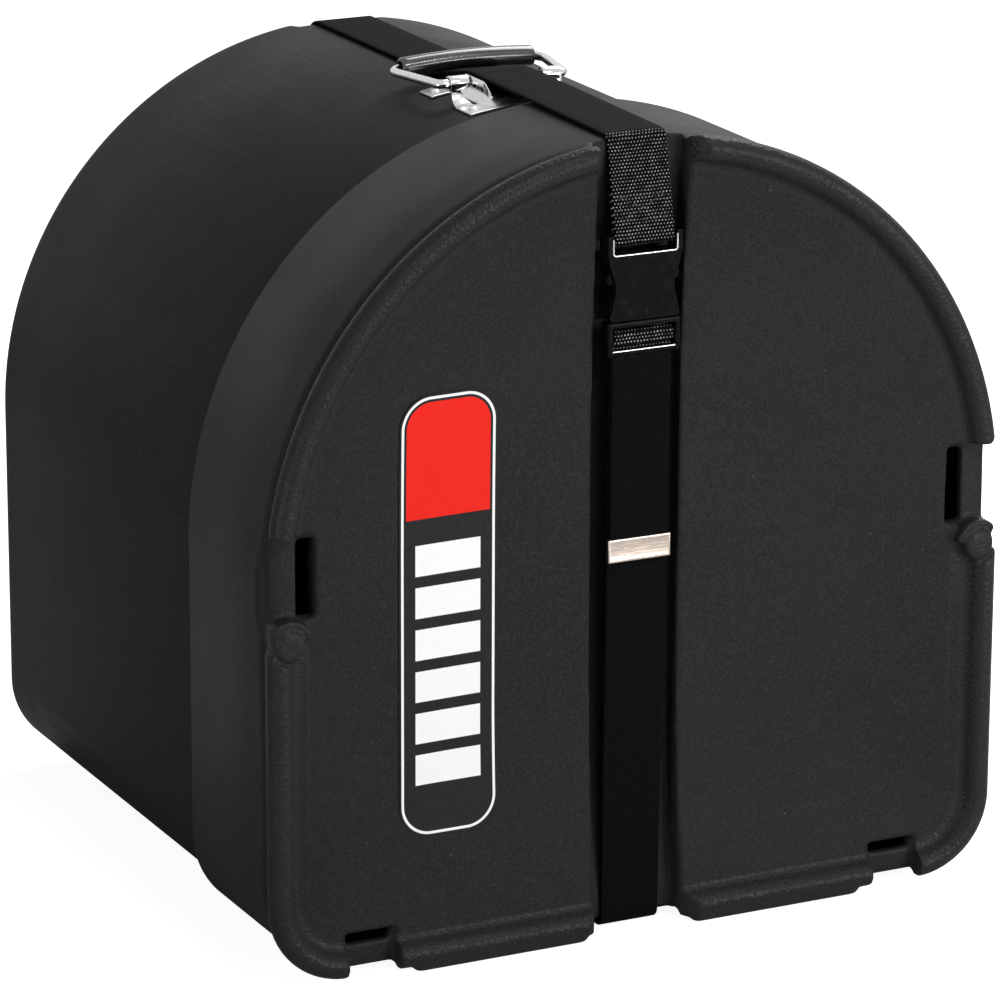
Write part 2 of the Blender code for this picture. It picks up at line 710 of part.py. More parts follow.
def make_lid_foam(parts, cutters):
    """A foam disc on the lid's inner face, grooved over the channel's wall."""
    rear = CHANNEL_START + FACE_DISH + WALL + FOAM_OVER_BOSS
    front = [section for section in face_sections(WALL + PART_GAP) if section[0] > LID_FOAM_INSET]
    edge = FACE_SETBACK + WALL + PART_GAP + dish_at(LID_FOAM_INSET)
    edge = max(edge, SHELF_DEPTH + PART_GAP)
    bm = bmesh.new()
    outline = list(reversed(front)) + [(LID_FOAM_INSET, edge), (LID_FOAM_INSET, rear)]
    loft(bm, outline, LID_RISE)
    foam = object_from(bm, "lid_foam", parts, material("foam", FOAM_GREY, 0.95))

    bm = bmesh.new()
    outline = [(-CUT_OVERRUN, LID_BOTTOM)]
    heights = [LID_BOTTOM] + face_heights() + [LID_TOP]
    outline += [(face_depth(z) + CHANNEL_DEPTH + WALL + PART_GAP, z) for z in heights]
    outline += [(-CUT_OVERRUN, LID_TOP)]
    half = BOSS_HALF + PART_GAP
    prism(bm, outline, -half, half, across)
    combine(foam, as_cutter(object_from(bm, "cut_lid_foam", cutters)), "DIFFERENCE")
    return foam


def make_base_foam(parts, cutters):
    """A foam disc on the bucket's floor, grooved over the channel's wall."""
    rear = CASE_DEPTH - WALL - PART_GAP
    front = BACK_FLOOR - WALL - FOAM_OVER_BOSS
    inset = BODY_INSET + WALL + BASE_FOAM_INSET
    bm = bmesh.new()
    loft(bm, [(inset, front), (inset, rear)])
    foam = object_from(bm, "base_foam", parts, material("foam", FOAM_GREY, 0.95))

    bm = bmesh.new()
    half = BOSS_HALF + PART_GAP
    box(bm, (-half, back(BACK_FLOOR - WALL - PART_GAP), LID_BOTTOM),
        (half, back(CASE_DEPTH + CUT_OVERRUN), LID_TOP))
    combine(foam, as_cutter(object_from(bm, "cut_base_foam", cutters)), "DIFFERENCE")
    return foam


def front_turn(height, start, end):
    """The strap's arc round an edge of the lid's channel."""
    radius = EDGE_ROUND + STRAP_LIFT
    return arc((CHANNEL_START + EDGE_ROUND, height), radius, start, end, BEND_STEPS)


def back_turn(height, start, end):
    radius = BACK_EDGE_ROUND + STRAP_LIFT
    return arc((BACK_FLOOR - BACK_EDGE_ROUND, height), radius, start, end, BEND_STEPS)


def strap_landing():
    """Where the strap comes down on the bucket behind the handle's grip."""
    crest = HAT_TOP + STRAP_LIFT
    under_grip = GRIP_HEIGHT - GRIP_RADIUS - STRAP_LIFT
    flat = BODY_TOP + STRAP_LIFT
    slope = (crest - under_grip) / (GRIP_DEPTH - HAT_BACK)
    return (HAT_BACK + (crest - flat) / slope, flat)


def make_strap(parts):
    """The fixed runs of the webbing loop and the runs on the lid's front."""
    crest = HAT_TOP + STRAP_LIFT
    front_edge = front_turn(LID_TOP - EDGE_ROUND, 90, 180)
    joint = PART_GAP / 2
    webbing("strap_top_front", [(HAT_MIDDLE - joint, crest), (HAT_FRONT, crest),
                                (front_edge[0][0] + joint, front_edge[0][1])], parts)

    landing = strap_landing()
    back_edge = back_turn(BODY_TOP - BACK_EDGE_ROUND, 90, 0)
    webbing("strap_top_rear", [(HAT_MIDDLE + joint, crest), (HAT_BACK, crest), landing]
            + back_edge, parts)

    low_edge = back_turn(BODY_BOTTOM + BACK_EDGE_ROUND, 0, -90)
    start = (back_edge[-1][0], back_edge[-1][1] - PART_GAP)
    webbing("strap_back", [start] + low_edge, parts)

    bottom_edge = front_turn(LID_BOTTOM + EDGE_ROUND - STRAP_SAG, 180, 270)
    under_lid = (LID_DEPTH, bottom_edge[-1][1])
    webbing("strap_bottom", [(low_edge[-1][0] - PART_GAP, low_edge[-1][1]), under_lid,
                             (bottom_edge[-1][0] + joint, bottom_edge[-1][1])], parts)
    return front_edge, bottom_edge


def make_front_straps(parts, front_edge, bottom_edge):
    """The webbing on the lid: round the socket's bar above, up to the plug below."""
    joint = PART_GAP / 2
    bar_front = BUCKLE_FRONT + WEB_BAR_SETBACK
    bar_back = bar_front + WEB_BAR_THICKNESS
    before, behind = bar_front - STRAP_LIFT, bar_back + STRAP_LIFT
    under = WEB_BAR_BOTTOM - STRAP_LIFT
    lay = STRAP_THICKNESS + PART_GAP
    slope = (front_edge[-1][0] - before) / (front_edge[-1][1] - BUCKLE_TOP)
    sewn_low = BUCKLE_TOP + 2 * lay
    sewn_high = sewn_low + STRAP_HALF
    turned = rounded_path([front_edge[-1], (before, BUCKLE_TOP), (before, under),
                           (behind, under), (behind, BUCKLE_TOP),
                           (before + slope * (sewn_low - BUCKLE_TOP) + lay, sewn_low),
                           (before + slope * (sewn_high - BUCKLE_TOP) + lay, sewn_high)],
                          STRAP_BEND)
    start = (front_edge[0][0] - joint, front_edge[0][1])
    path = [start] + front_edge[1:-1] + [tuple(point) for point in turned]
    webbing("strap_front_upper", path, parts)

    top = (LOAD_DEPTH, PLUG_BOTTOM - PART_GAP)
    end = (bottom_edge[-1][0] - joint, bottom_edge[-1][1])
    return webbing("strap_front_lower", [top] + bottom_edge[:-1] + [end], parts)


def make_tail(parts, carrier):
    """Webbing round the ladder bar and down the front, with its metal tip."""
    before = LADDER_BAR_FRONT - STRAP_LIFT
    over = LADDER_BAR_TOP + STRAP_LIFT
    under = LADDER_BAR_TOP - LADDER_BAR_HEIGHT - STRAP_LIFT
    tail_end = PLUG_BOTTOM - TAIL_LENGTH
    slot_depth = TIP_HEIGHT - 2 * TIP_SHEET
    tip_top = tail_end + slot_depth
    tip_depth = TAIL_DEPTH + TAIL_SLOPE_OUT
    corners = [(LOAD_DEPTH, PLUG_BOTTOM), (LOAD_DEPTH, over), (before, over),
               (before, under), (TAIL_DEPTH, under), (TAIL_DEPTH, PLUG_BOTTOM)]
    path = [tuple(point) for point in rounded_path(corners, STRAP_BEND)]
    path += [(tip_depth, tip_top), (tip_depth, tail_end)]
    tail = webbing("strap_tail", path, parts)

    half_x = STRAP_HALF + PART_GAP + TIP_SIDE
    half_y = STRAP_LIFT + TIP_SHEET
    bm = bmesh.new()
    low = tail_end - 2 * TIP_SHEET
    box(bm, (-half_x, back(tip_depth - half_y), low), (half_x, back(tip_depth + half_y), tip_top))
    tip = object_from(bm, "strap_tip", parts, material("chrome", CHROME, 0.1, 1.0))
    bevel(tip, TIP_SHEET, 2)
    bm = bmesh.new()
    box(bm, (-STRAP_HALF - PART_GAP, back(tip_depth - STRAP_LIFT), tail_end - PART_GAP),
        (STRAP_HALF + PART_GAP, back(tip_depth + STRAP_LIFT), tip_top + CUT_OVERRUN))
    cutter = as_cutter(object_from(bm, "cut_tip", bpy.data.collections["drum_case_cutters"]))
    combine(tip, cutter, "DIFFERENCE")
    for piece in (tail, tip):
        hold(piece, carrier)


def socket_outline():
    """Front outline of the buckle's socket, half at a time."""
    right = [(BUCKLE_HALF_WIDTH, BUCKLE_TOP)]
    right += [(BUCKLE_HALF_WIDTH * share, SOCKET_TOP - SOCKET_LENGTH * drop)
              for share, drop in SOCKET_SIDE_SHARES]
    return right + [(-x, z) for x, z in reversed(right)]


def make_socket(parts, cutters):
    bm = bmesh.new()
    prism(bm, socket_outline(), BUCKLE_FRONT, BUCKLE_BACK, through)
    socket = object_from(bm, "buckle_socket", parts, material("acetal", BUCKLE_BLACK, 0.22))
    bevel(socket, BUCKLE_EDGE, 2, 50)

    bm = bmesh.new()
    wide = BUCKLE_HALF_WIDTH + CUT_OVERRUN
    box(bm, (-wide, back(BUCKLE_FRONT + PLATE_THICKNESS), SOCKET_MOUTH - CUT_OVERRUN),
        (wide, back(BUCKLE_BACK - PLATE_THICKNESS), SOCKET_TOP - SOCKET_BLOCK))
    front, rear = back(BUCKLE_FRONT - CUT_OVERRUN), back(BUCKLE_BACK + CUT_OVERRUN)
    box(bm, (-WEB_OPENING_HALF, front, SOCKET_TOP), (WEB_OPENING_HALF, rear, WEB_BAR_BOTTOM))
    combine(socket, as_cutter(object_from(bm, "cut_socket", cutters)), "DIFFERENCE")

    bm = bmesh.new()
    bar_front = BUCKLE_FRONT + WEB_BAR_SETBACK
    bar_back = bar_front + WEB_BAR_THICKNESS
    top = BUCKLE_TOP + CUT_OVERRUN
    box(bm, (-WEB_OPENING_HALF, front, WEB_BAR_BOTTOM - PART_GAP),
        (WEB_OPENING_HALF, back(bar_front), top))
    box(bm, (-WEB_OPENING_HALF, back(bar_back), WEB_BAR_BOTTOM - PART_GAP),
        (WEB_OPENING_HALF, rear, top))
    combine(socket, as_cutter(object_from(bm, "cut_web_bar", cutters)), "DIFFERENCE")
    return socket


def make_plug(parts, cutters, carrier):
    """The plug's frame with its two ladder bars and its middle tongue."""
    bm = bmesh.new()
    box(bm, (-PLUG_HALF_WIDTH, back(PLUG_FRONT), PLUG_BOTTOM),
        (PLUG_HALF_WIDTH, back(PLUG_BACK), PLUG_TOP))
    plug = object_from(bm, "buckle_plug", parts, material("acetal", BUCKLE_BLACK, 0.22))
    bevel(plug, BUCKLE_EDGE * 2, 3)

    bm = bmesh.new()
    front, rear = back(PLUG_FRONT - CUT_OVERRUN), back(PLUG_BACK + CUT_OVERRUN)
    box(bm, (-WEB_OPENING_HALF, front, PLUG_BOTTOM - CUT_OVERRUN),
        (WEB_OPENING_HALF, rear, PLUG_TOP - PLUG_HEAD))
    combine(plug, as_cutter(object_from(bm, "cut_ladder", cutters)), "DIFFERENCE")

    bm = bmesh.new()
    seat = (PLUG_HALF_WIDTH + WEB_OPENING_HALF) / 2
    box(bm, (-seat, back(LADDER_BAR_FRONT), LADDER_BAR_TOP - LADDER_BAR_HEIGHT),
        (seat, back(LADDER_BAR_BACK), LADDER_BAR_TOP))
    box(bm, (-seat, back(LOWER_BAR_FRONT), PLUG_BOTTOM + BUCKLE_EDGE),
        (seat, back(LOWER_BAR_BACK), LOWER_BAR_TOP))
    bars = as_cutter(object_from(bm, "add_ladder_bars", cutters))
    bevel(bars, BUCKLE_EDGE, 2)
    combine(plug, bars, "UNION")

    bm = bmesh.new()
    middle = (PLUG_FRONT + PLUG_BACK) / 2
    inside = (BUCKLE_THICKNESS / 2 - PLATE_THICKNESS - LATCH_GAP)
    centre = (BUCKLE_FRONT + BUCKLE_BACK) / 2
    box(bm, (-TONGUE_HALF_WIDTH, back(centre - inside), PLUG_TOP - PLUG_HEAD / 2),
        (TONGUE_HALF_WIDTH, back(min(centre + inside, middle + PLUG_THICKNESS / 2)),
         PLUG_TOP + TONGUE_LENGTH))
    tongue = as_cutter(object_from(bm, "add_tongue", cutters))
    bevel(tongue, BUCKLE_EDGE, 2)
    combine(plug, tongue, "UNION")
    hold(plug, carrier)
    return plug


def prong_outline(side):
    """Front outline of a release prong about its root, leaning out to a barb."""
    root_height = PLUG_TOP + PRONG_ROOT_RADIUS + PART_GAP
    reach = PRONG_LENGTH
    width = BUCKLE_HALF_WIDTH / 2
    start, end = (200, 350)
    root = arc((0, 0), PRONG_ROOT_RADIUS, start, end, ROUND_STEPS)
    points = root + [(out * width, up * reach) for out, up in PRONG_SHARES]
    return [(side * (PRONG_ROOT_X + x), root_height + z) for x, z in points]


def make_prong(name, side, parts, carrier):
    inside = BUCKLE_THICKNESS / 2 - PLATE_THICKNESS - LATCH_GAP
    centre = (BUCKLE_FRONT + BUCKLE_BACK) / 2
    root_height = PLUG_TOP + PRONG_ROOT_RADIUS + PART_GAP
    origin = (side * PRONG_ROOT_X, back(centre), root_height)
    bm = bmesh.new()
    prism(bm, prong_outline(side), centre - inside, centre + inside, through)
    finish = material("acetal", BUCKLE_BLACK, 0.22)
    prong = object_from(bm, name, parts, finish, origin)
    bevel(prong, BUCKLE_EDGE / 2, 1, 60)
    hold(prong, carrier)
    return prong


def hat_share(x, depth):
    """How far the saddle's sheet has risen from the flange (0) to the hat (1)."""
    rise = smooth_step((depth - HAT_FRONT + HAT_RAMP) / HAT_RAMP)
    fall = smooth_step((HAT_BACK + HAT_RAMP - depth) / HAT_RAMP)
    side = STRAP_HALF + HAT_SIDE_GAP + HAT_SIDE_RAMP - abs(x)
    return rise * fall * smooth_step(side / HAT_SIDE_RAMP)


def seat_height(x):
    """Height of the saddle's underside where it rests on the bucket's crown."""
    return ARC_HEIGHT + math.sqrt((BODY_RADIUS + PART_GAP) ** 2 - x ** 2)


def saddle_under(x, depth):
    """Height of the sheet's underside: bent to the bucket's crown, raised in the hat."""
    share = hat_share(x, depth)
    return seat_height(x) * (1 - share) + (HAT_TOP - SADDLE_SHEET) * share


def ear_path():
    """Side path of an ear: up from the flange and rolled round the bail's pin."""
    roll = EYE_RADIUS + SADDLE_SHEET / 2
    foot = seat_height(EAR_X) + SADDLE_SHEET
    start = (PIVOT_DEPTH - EAR_FOOT_REACH, foot)
    path = rounded_path([start, (PIVOT_DEPTH - roll, foot), (PIVOT_DEPTH - roll, PIVOT_HEIGHT)],
                        EAR_BEND)
    return path[:-1] + arc((PIVOT_DEPTH, PIVOT_HEIGHT), roll, 180, -100, EYE_STEPS)


def make_saddle(parts, cutters):
    front = PIVOT_DEPTH - SADDLE_FRONT_REACH
    length = SADDLE_FRONT_REACH + SADDLE_BACK_REACH
    bm = bmesh.new()
    bmesh.ops.create_grid(bm, x_segments=SADDLE_COLUMNS, y_segments=SADDLE_ROWS, size=0.5)
    for vertex in bm.verts:
        x = vertex.co.x * 2 * SADDLE_HALF_WIDTH
        depth = front + (vertex.co.y + 0.5) * length
        vertex.co = (x, back(depth), saddle_under(x, depth))
    finish = material("chrome", CHROME, 0.1, 1.0)
    saddle = object_from(bm, "handle_saddle", parts, finish)
    sheet = saddle.modifiers.new("sheet", "SOLIDIFY")
    sheet.thickness = SADDLE_SHEET
    sheet.offset = 1
    for side in (-1, 1):
        low, high = side * EAR_X - EAR_WIDTH / 2, side * EAR_X + EAR_WIDTH / 2
        bm = bmesh.new()
        prism(bm, ribbon_outline(ear_path(), SADDLE_SHEET), low, high, across)
        rise = PIVOT_HEIGHT - seat_height(EAR_X)
        for vertex in bm.verts:
            share = min(max((PIVOT_HEIGHT - vertex.co.z) / rise, 0), 1)
            vertex.co.z += (seat_height(vertex.co.x) - seat_height(EAR_X)) * share
        name = "add_ear_left" if side < 0 else "add_ear_right"
        combine(saddle, as_cutter(object_from(bm, name, cutters)), "UNION")
    return saddle


def make_bail(parts, carrier):
    """The wire bail, lying back over the strap, with its vinyl grip."""
    pin_end = EAR_X - EAR_WIDTH / 2
    half = [(pin_end, 0, 0), (BAIL_PIN_X, 0, 0), (BAIL_CORNER_X, BAIL_REACH, BAIL_RISE),
            (0, BAIL_REACH, BAIL_RISE)]
    first = rounded_path(half[:3], BAIL_PIN_BEND)
    second = rounded_path([half[1], half[2], half[3]], BAIL_CORNER_BEND)
    right = first[:-1] + second[1:]
    left = [Vector((-point.x, point.y, point.z)) for point in reversed(right[:-1])]
    path = right + left
    curve = bpy.data.curves.new("handle_bail", "CURVE")
    curve.dimensions = "3D"
    curve.bevel_depth = WIRE_RADIUS
    curve.bevel_resolution = 3
    curve.use_fill_caps = True
    spline = curve.splines.new("POLY")
    spline.points.add(len(path) - 1)
    for point, place in zip(spline.points, path):
        point.co = (*place, 1)
    curve.materials.append(material("chrome", CHROME, 0.1, 1.0))
    bail = bpy.data.objects.new("handle_bail", curve)
    bail.location = (0, back(PIVOT_DEPTH), PIVOT_HEIGHT)
    parts.objects.link(bail)
    hold(bail, carrier)

    half_length = GRIP_LENGTH / 2
    bore = WIRE_RADIUS + PART_GAP
    soft = GRIP_END_ROUND
    bm = bmesh.new()
    top = arc((GRIP_RADIUS - soft, half_length - soft), soft, 90, 0, 3)
    low = arc((GRIP_RADIUS - soft, soft - half_length), soft, 0, -90, 3)
    profile = [(bore, half_length)] + top + low + [(bore, -half_length)]
    ring = [bm.verts.new((radius, 0, z)) for radius, z in profile]
    for start, end in zip(ring, ring[1:] + ring[:1]):
        bm.edges.new((start, end))
    mesh = bpy.data.meshes.new("handle_grip")
    bm.to_mesh(mesh)
    bm.free()
    mesh.materials.append(material("vinyl", VINYL_BLACK, 0.35))
    grip = bpy.data.objects.new("handle_grip", mesh)
    grip.location = (0, back(GRIP_DEPTH), GRIP_HEIGHT)
    grip.rotation_euler = (0, math.radians(90), 0)
    parts.objects.link(grip)
    turn = grip.modifiers.new("turned", "SCREW")
    turn.steps = turn.render_steps = GRIP_STEPS
    turn.use_merge_vertices = True
    turn.merge_threshold = PART_GAP / 10
    turn.use_smooth_shade = True
    hold(grip, carrier)


def joint_axis(name, place, group):
    """An empty on a joint's axis that carries the pieces that move there."""
    axis = bpy.data.objects.new(name, None)
    axis.location = place
    axis.empty_display_size = WALL
    group.objects.link(axis)
    return axis


def hold(piece, carrier):
    """Parents a piece to an empty and leaves it where it is."""
    piece.parent = carrier
    piece.matrix_parent_inverse = Matrix.Translation(-Vector(carrier.location))


def main():
    clear_scene()
    parts = new_collection("drum_case")
    cutters = new_collection("drum_case_cutters")

    lid_axis = joint_axis("lid_slide_axis", (0, back(LID_DEPTH), ARC_HEIGHT), parts)
    bail_axis = joint_axis("bail_axis", (0, back(PIVOT_DEPTH), PIVOT_HEIGHT), parts)
    plug_axis = joint_axis("plug_slide_axis", (0, back(PLUG_FRONT), PLUG_TOP), parts)

    make_body_shell(parts, cutters)
    make_base_foam(parts, cutters)
    lid, skin = make_lid_shell(parts, cutters)
    for piece in (lid, make_lid_foam(parts, cutters), make_label(parts, skin)):
        hold(piece, lid_axis)

    front_edge, bottom_edge = make_strap(parts)
    lower = make_front_straps(parts, front_edge, bottom_edge)
    socket = make_socket(parts, cutters)
    for piece in (lower, socket, bpy.data.objects["strap_front_upper"]):
        hold(piece, lid_axis)
    make_plug(parts, cutters, plug_axis)
    make_tail(parts, plug_axis)
    make_prong("buckle_prong_left", -1, parts, plug_axis)
    make_prong("buckle_prong_right", 1, parts, plug_axis)

    make_saddle(parts, cutters)
    make_bail(parts, bail_axis)


main()
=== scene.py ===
import math

import bmesh
import bpy
from mathutils import Matrix, Vector


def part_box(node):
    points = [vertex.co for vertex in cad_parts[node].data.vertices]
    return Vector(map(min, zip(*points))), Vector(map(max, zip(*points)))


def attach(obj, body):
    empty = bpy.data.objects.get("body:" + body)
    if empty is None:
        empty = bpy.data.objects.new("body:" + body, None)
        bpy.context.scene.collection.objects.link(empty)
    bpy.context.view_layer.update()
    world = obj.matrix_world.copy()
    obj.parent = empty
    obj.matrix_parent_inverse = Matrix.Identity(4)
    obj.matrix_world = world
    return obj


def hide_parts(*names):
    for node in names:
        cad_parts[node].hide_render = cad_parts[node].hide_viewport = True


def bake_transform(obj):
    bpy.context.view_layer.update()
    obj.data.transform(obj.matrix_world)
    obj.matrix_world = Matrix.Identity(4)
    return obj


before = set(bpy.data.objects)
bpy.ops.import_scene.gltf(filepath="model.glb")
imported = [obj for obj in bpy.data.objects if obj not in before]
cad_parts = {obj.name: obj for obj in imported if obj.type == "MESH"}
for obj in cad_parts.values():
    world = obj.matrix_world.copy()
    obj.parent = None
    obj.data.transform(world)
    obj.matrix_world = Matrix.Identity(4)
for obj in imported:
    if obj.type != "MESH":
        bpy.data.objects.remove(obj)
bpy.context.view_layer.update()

bl_info = {
    "name": "Drum Case",
    "version": (1, 0, 0),
    "blender": (4, 5, 0),
    "location": "3D View > Sidebar > Drum Case",
    "description": "Dresses the packed drum case: shells, webbing, buckle, handle and studio",
    "category": "Object",
}

CASE_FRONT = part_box("lid_shell")[0][1]
CASE_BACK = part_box("body_shell")[1][1]

# Gaps, counts and rounding shared by the pieces
PART_GAP = 0.0003
ARC_STEPS = 168
CORNER_STEPS = 16
BEND_STEPS = 10
FACE_STEPS = 14
OVERRUN = 0.010
VOXEL = 0.00125
SMOOTHING = 5

# Edges the strap turns over, and where a moulded end is cut off and drawn on as plain wall
FRONT_EDGE = 0.004
BACK_EDGE = 0.018
LID_CUT = 0.038
BUCKET_CUT = 0.385
CUT_MARGIN = 0.012
RIM_LEAD = 0.0015

# Outlines drawn: shares of the bead's and buckle's sizes, and slopes in metres
FACE_CURVE = 2.1
FACE_FLAT_SHARE = 0.72
BEAD_SHARES = [(0.0, 1.0), (0.10, 0.80), (0.20, 0.42), (0.34, 0.12), (0.52, 0.0),
               (0.70, 0.03), (0.86, 0.20), (0.96, 0.48), (1.0, 0.80)]
BEAD_BACK_SHARES = [(0.75, 0.53), (-0.10, 0.66)]
FLARE_LEFT = [(0.0085, -0.002), (0.0040, 0.0012), (0.0016, 0.0050), (0.0007, 0.0105),
              (0, 0.0140)]
FLARE_RIGHT = [(0.0130, -0.002), (0.0085, 0.0010), (0.0045, 0.0048), (0.0018, 0.0095),
               (0, 0.0140)]
CREST_SLOPE = [(-0.002, 0.0), (0.0, 0.0001), (0.0035, 0.0007), (0.0085, 0.0032)]
SOCKET_SHARES = [(1.0, 0.0), (0.90, 0.24), (0.81, 0.40), (0.79, 0.55),
                 (0.88, 0.80), (0.93, 0.94), (0.90, 1.0)]
PRONG_SHARES = [(0.18, 0.22), (0.08, 0.36), (-0.10, 0.55), (-0.16, 0.64), (0.34, 0.70),
                (0.38, 0.82), (0.20, 0.94), (-0.12, 1.0), (-0.48, 0.97), (-0.62, 0.74),
                (-0.52, 0.46), (-0.30, 0.20)]


def length(name, text, default):
    return bpy.props.FloatProperty(name=name, description=text, default=default,
                                   subtype="DISTANCE", unit="LENGTH", precision=5)


def colour(name, text, default):
    return bpy.props.FloatVectorProperty(name=name, description=text, default=default,
                                         subtype="COLOR", size=3, min=0.0, max=1.0)


class ShellSizes(bpy.types.PropertyGroup):
    """Sizes of the bucket and the lid"""

    depth: length("Case depth", "From the lid's crest to the bucket's back",
                  round(CASE_BACK - CASE_FRONT, 5))
    arc_height: length("Arch centre", "Height of the centre of the round top", 0.2405)
    radius: length("Lid radius", "Outer radius of the lid's round top", 0.2358)
    rise: length("Arch rise", "How much higher than round the lid's arch is", 0.0028)
    lid_depth: length("Lid depth", "From the crest to the lid's rim", 0.1234)
    corner: length("Corner radius", "Lower corners of the walls", 0.056)
    bead_corner: length("Bead corner radius", "Lower corners of the bead", 0.047)
    foot_drop: length("Foot height", "How far the feet stand below the lid", 0.0053)
    wall: length("Wall", "Thickness of both mouldings", 0.005)
    slide_gap: length("Slide gap", "Gap between the lid's wall and the bucket's", 0.0016)
    rim_setback: length("Rim setback", "From the crest to the bucket's rim", 0.045)
    back_round: length("Back rounding", "Round edge of the bucket's back", 0.013)
    face_setback: length("Face setback", "How far the face lies behind the crest", 0.009)
    face_dish: length("Face dish", "How far the face sinks towards its middle", 0.008)
    bead_width: length("Bead width", "Width of the rolled bead round the face", 0.0156)
    bead_overhang: length("Bead overhang", "How far the bead stands out of the wall", 0.0022)
    bead_length: length("Bead length", "From the crest to the plain wall", 0.020)
    groove: length("Groove", "Depth of the groove behind the bead", 0.0021)
    channel_width: length("Channel width", "Width of the strap's channel", 0.057)
    channel_depth: length("Channel depth", "Depth of the channel in the lid", 0.0115)
    back_channel: length("Back channel depth", "Depth of the bucket's channel", 0.008)


class StrapSizes(bpy.types.PropertyGroup):
    """Sizes of the webbing"""

    width: length("Width", "Width of the webbing", 0.0381)
    thickness: length("Thickness", "Thickness of the webbing", 0.0018)
    tail: length("Tail length", "Loose tail below the buckle", 0.123)
    sag: length("Slack", "How far the strap hangs off the lower edge", 0.0022)
    pick: length("Dash spacing", "Spacing of the weave's dashes along a row", 0.0021)
    row: length("Row spacing", "Spacing of the weave's rows", 0.0020)


class BuckleSizes(bpy.types.PropertyGroup):
    """Sizes of the side release buckle"""

    front: length("Front setback", "From the lid's crest to the buckle's front", 0.007)
    thickness: length("Thickness", "Thickness of the socket", 0.011)
    top_drop: length("Drop", "From the lid's top to the buckle's top", 0.0546)
    half_width: length("Half width", "Half of the socket's width", 0.024)
    socket: length("Socket length", "From the web slot to the mouth", 0.039)
    plug: length("Plug length", "Length of the plug's frame", 0.0205)


class HandleSizes(bpy.types.PropertyGroup):
    """Sizes of the handle"""

    pivot_depth: length("Pivot depth", "From the lid's crest to the bail's pivot", 0.183)
    pivot_rise: length("Pivot rise", "Height of the pivot over the bucket", 0.0103)
    wire: length("Wire radius", "Radius of the bail's wire", 0.00275)
    reach: length("Bail reach", "From the pivot to the grip", 0.058)
    grip: length("Grip radius", "Radius of the vinyl sleeve", 0.0062)
    grip_length: length("Grip length", "Length of the vinyl sleeve", 0.088)
    half_width: length("Saddle half width", "Half of the saddle's width", 0.0365)
    bow: length("Grip bow", "How far the grip bows up in its middle", 0.0022)


class CaseFinish(bpy.types.PropertyGroup):
    """Colours of the finishes"""

    plastic: colour("Moulded plastic", "Satin black of the bucket and lid",
                    (0.0150, 0.0153, 0.0159))
    webbing: colour("Webbing", "Dark ground of the webbing", (0.0022, 0.0022, 0.0024))
    # Painted highlight: the pale colour painted on the webbing's dash tops, not the threads' own
    # colour
    thread: colour("Webbing thread", "Raised threads of the webbing", (0.40, 0.40, 0.41))
    acetal: colour("Buckle", "Glossy black of the buckle", (0.0035, 0.0035, 0.004))
    # Painted highlight: pale metal lips stand in for the gleam along the buckle's black edges
    highlight_lip: colour("Buckle lips", "Gleam along the buckle's lips", (0.72, 0.72, 0.74))
    chrome: colour("Chrome", "Bright plate of the handle", (0.60, 0.60, 0.60))
    tip: colour("Strap tip", "Warm nickel of the strap's tip", (0.64, 0.54, 0.47))
    vinyl: colour("Grip", "Black vinyl sleeve", (0.012, 0.012, 0.012))
    foam: colour("Foam", "Foam inside both shells", (0.10, 0.10, 0.11))
    sticker: colour("Sticker", "Ground of the sticker", (0.014, 0.014, 0.014))
    sticker_line: colour("Sticker line", "Pale panels of the sticker", (0.90, 0.90, 0.89))
    sticker_bar: colour("Sticker bar", "Warm field of the sticker", (0.80, 0.014, 0.006))


class StageLook(bpy.types.PropertyGroup):
    """The studio"""

    floor: colour("Floor", "Colour of the floor", (0.80, 0.80, 0.80))
    lens: bpy.props.FloatProperty(name="Lens", description="Focal length in millimetres",
                                  default=195.62, min=10.0)
    key: bpy.props.FloatProperty(name="Key light", description="Power of the top light",
                                 default=37.0, min=0.0, unit="POWER")
    fill: bpy.props.FloatProperty(name="Fill light", description="Power of the front light",
                                  default=49.0, min=0.0, unit="POWER")
    edge: bpy.props.FloatProperty(name="Edge light", description="Power of the slim light",
                                  default=20.0, min=0.0, unit="POWER")
    low: bpy.props.FloatProperty(name="Low light", description="Power of the low left light",
                                 default=9.0, min=0.0, unit="POWER")


GROUPS = {"case_shell": ShellSizes, "case_strap": StrapSizes, "case_buckle": BuckleSizes,
          "case_handle": HandleSizes, "case_finish": CaseFinish, "case_stage": StageLook}


# Places and outlines ---------------------------------------------------------------

def back(depth):
    """Y of a point that lies this far behind the lid's front crest."""
    return depth - bpy.context.scene.case_shell.depth / 2


def lid_top():
    shell = bpy.context.scene.case_shell
    return shell.arc_height + shell.radius + shell.rise


def body_inset():
    shell = bpy.context.scene.case_shell
    return shell.wall + shell.slide_gap


def body_top():
    shell = bpy.context.scene.case_shell
    return shell.arc_height + shell.radius - body_inset()


def body_bottom():
    return bpy.context.scene.case_shell.foot_drop + body_inset()


def channel_start():
    shell = bpy.context.scene.case_shell
    return shell.face_setback + shell.channel_depth


def arc(centre, radius, start, end, steps):
    """Points on an arc in a plane, from one angle to another in degrees."""
    points = []
    for step in range(steps + 1):
        turn = math.radians(start + (end - start) * step / steps)
        points.append((centre[0] + radius * math.cos(turn), centre[1] + radius * math.sin(turn)))
    return points


def smooth_step(value):
    value = min(max(value, 0), 1)
    return value * value * (3 - 2 * value)


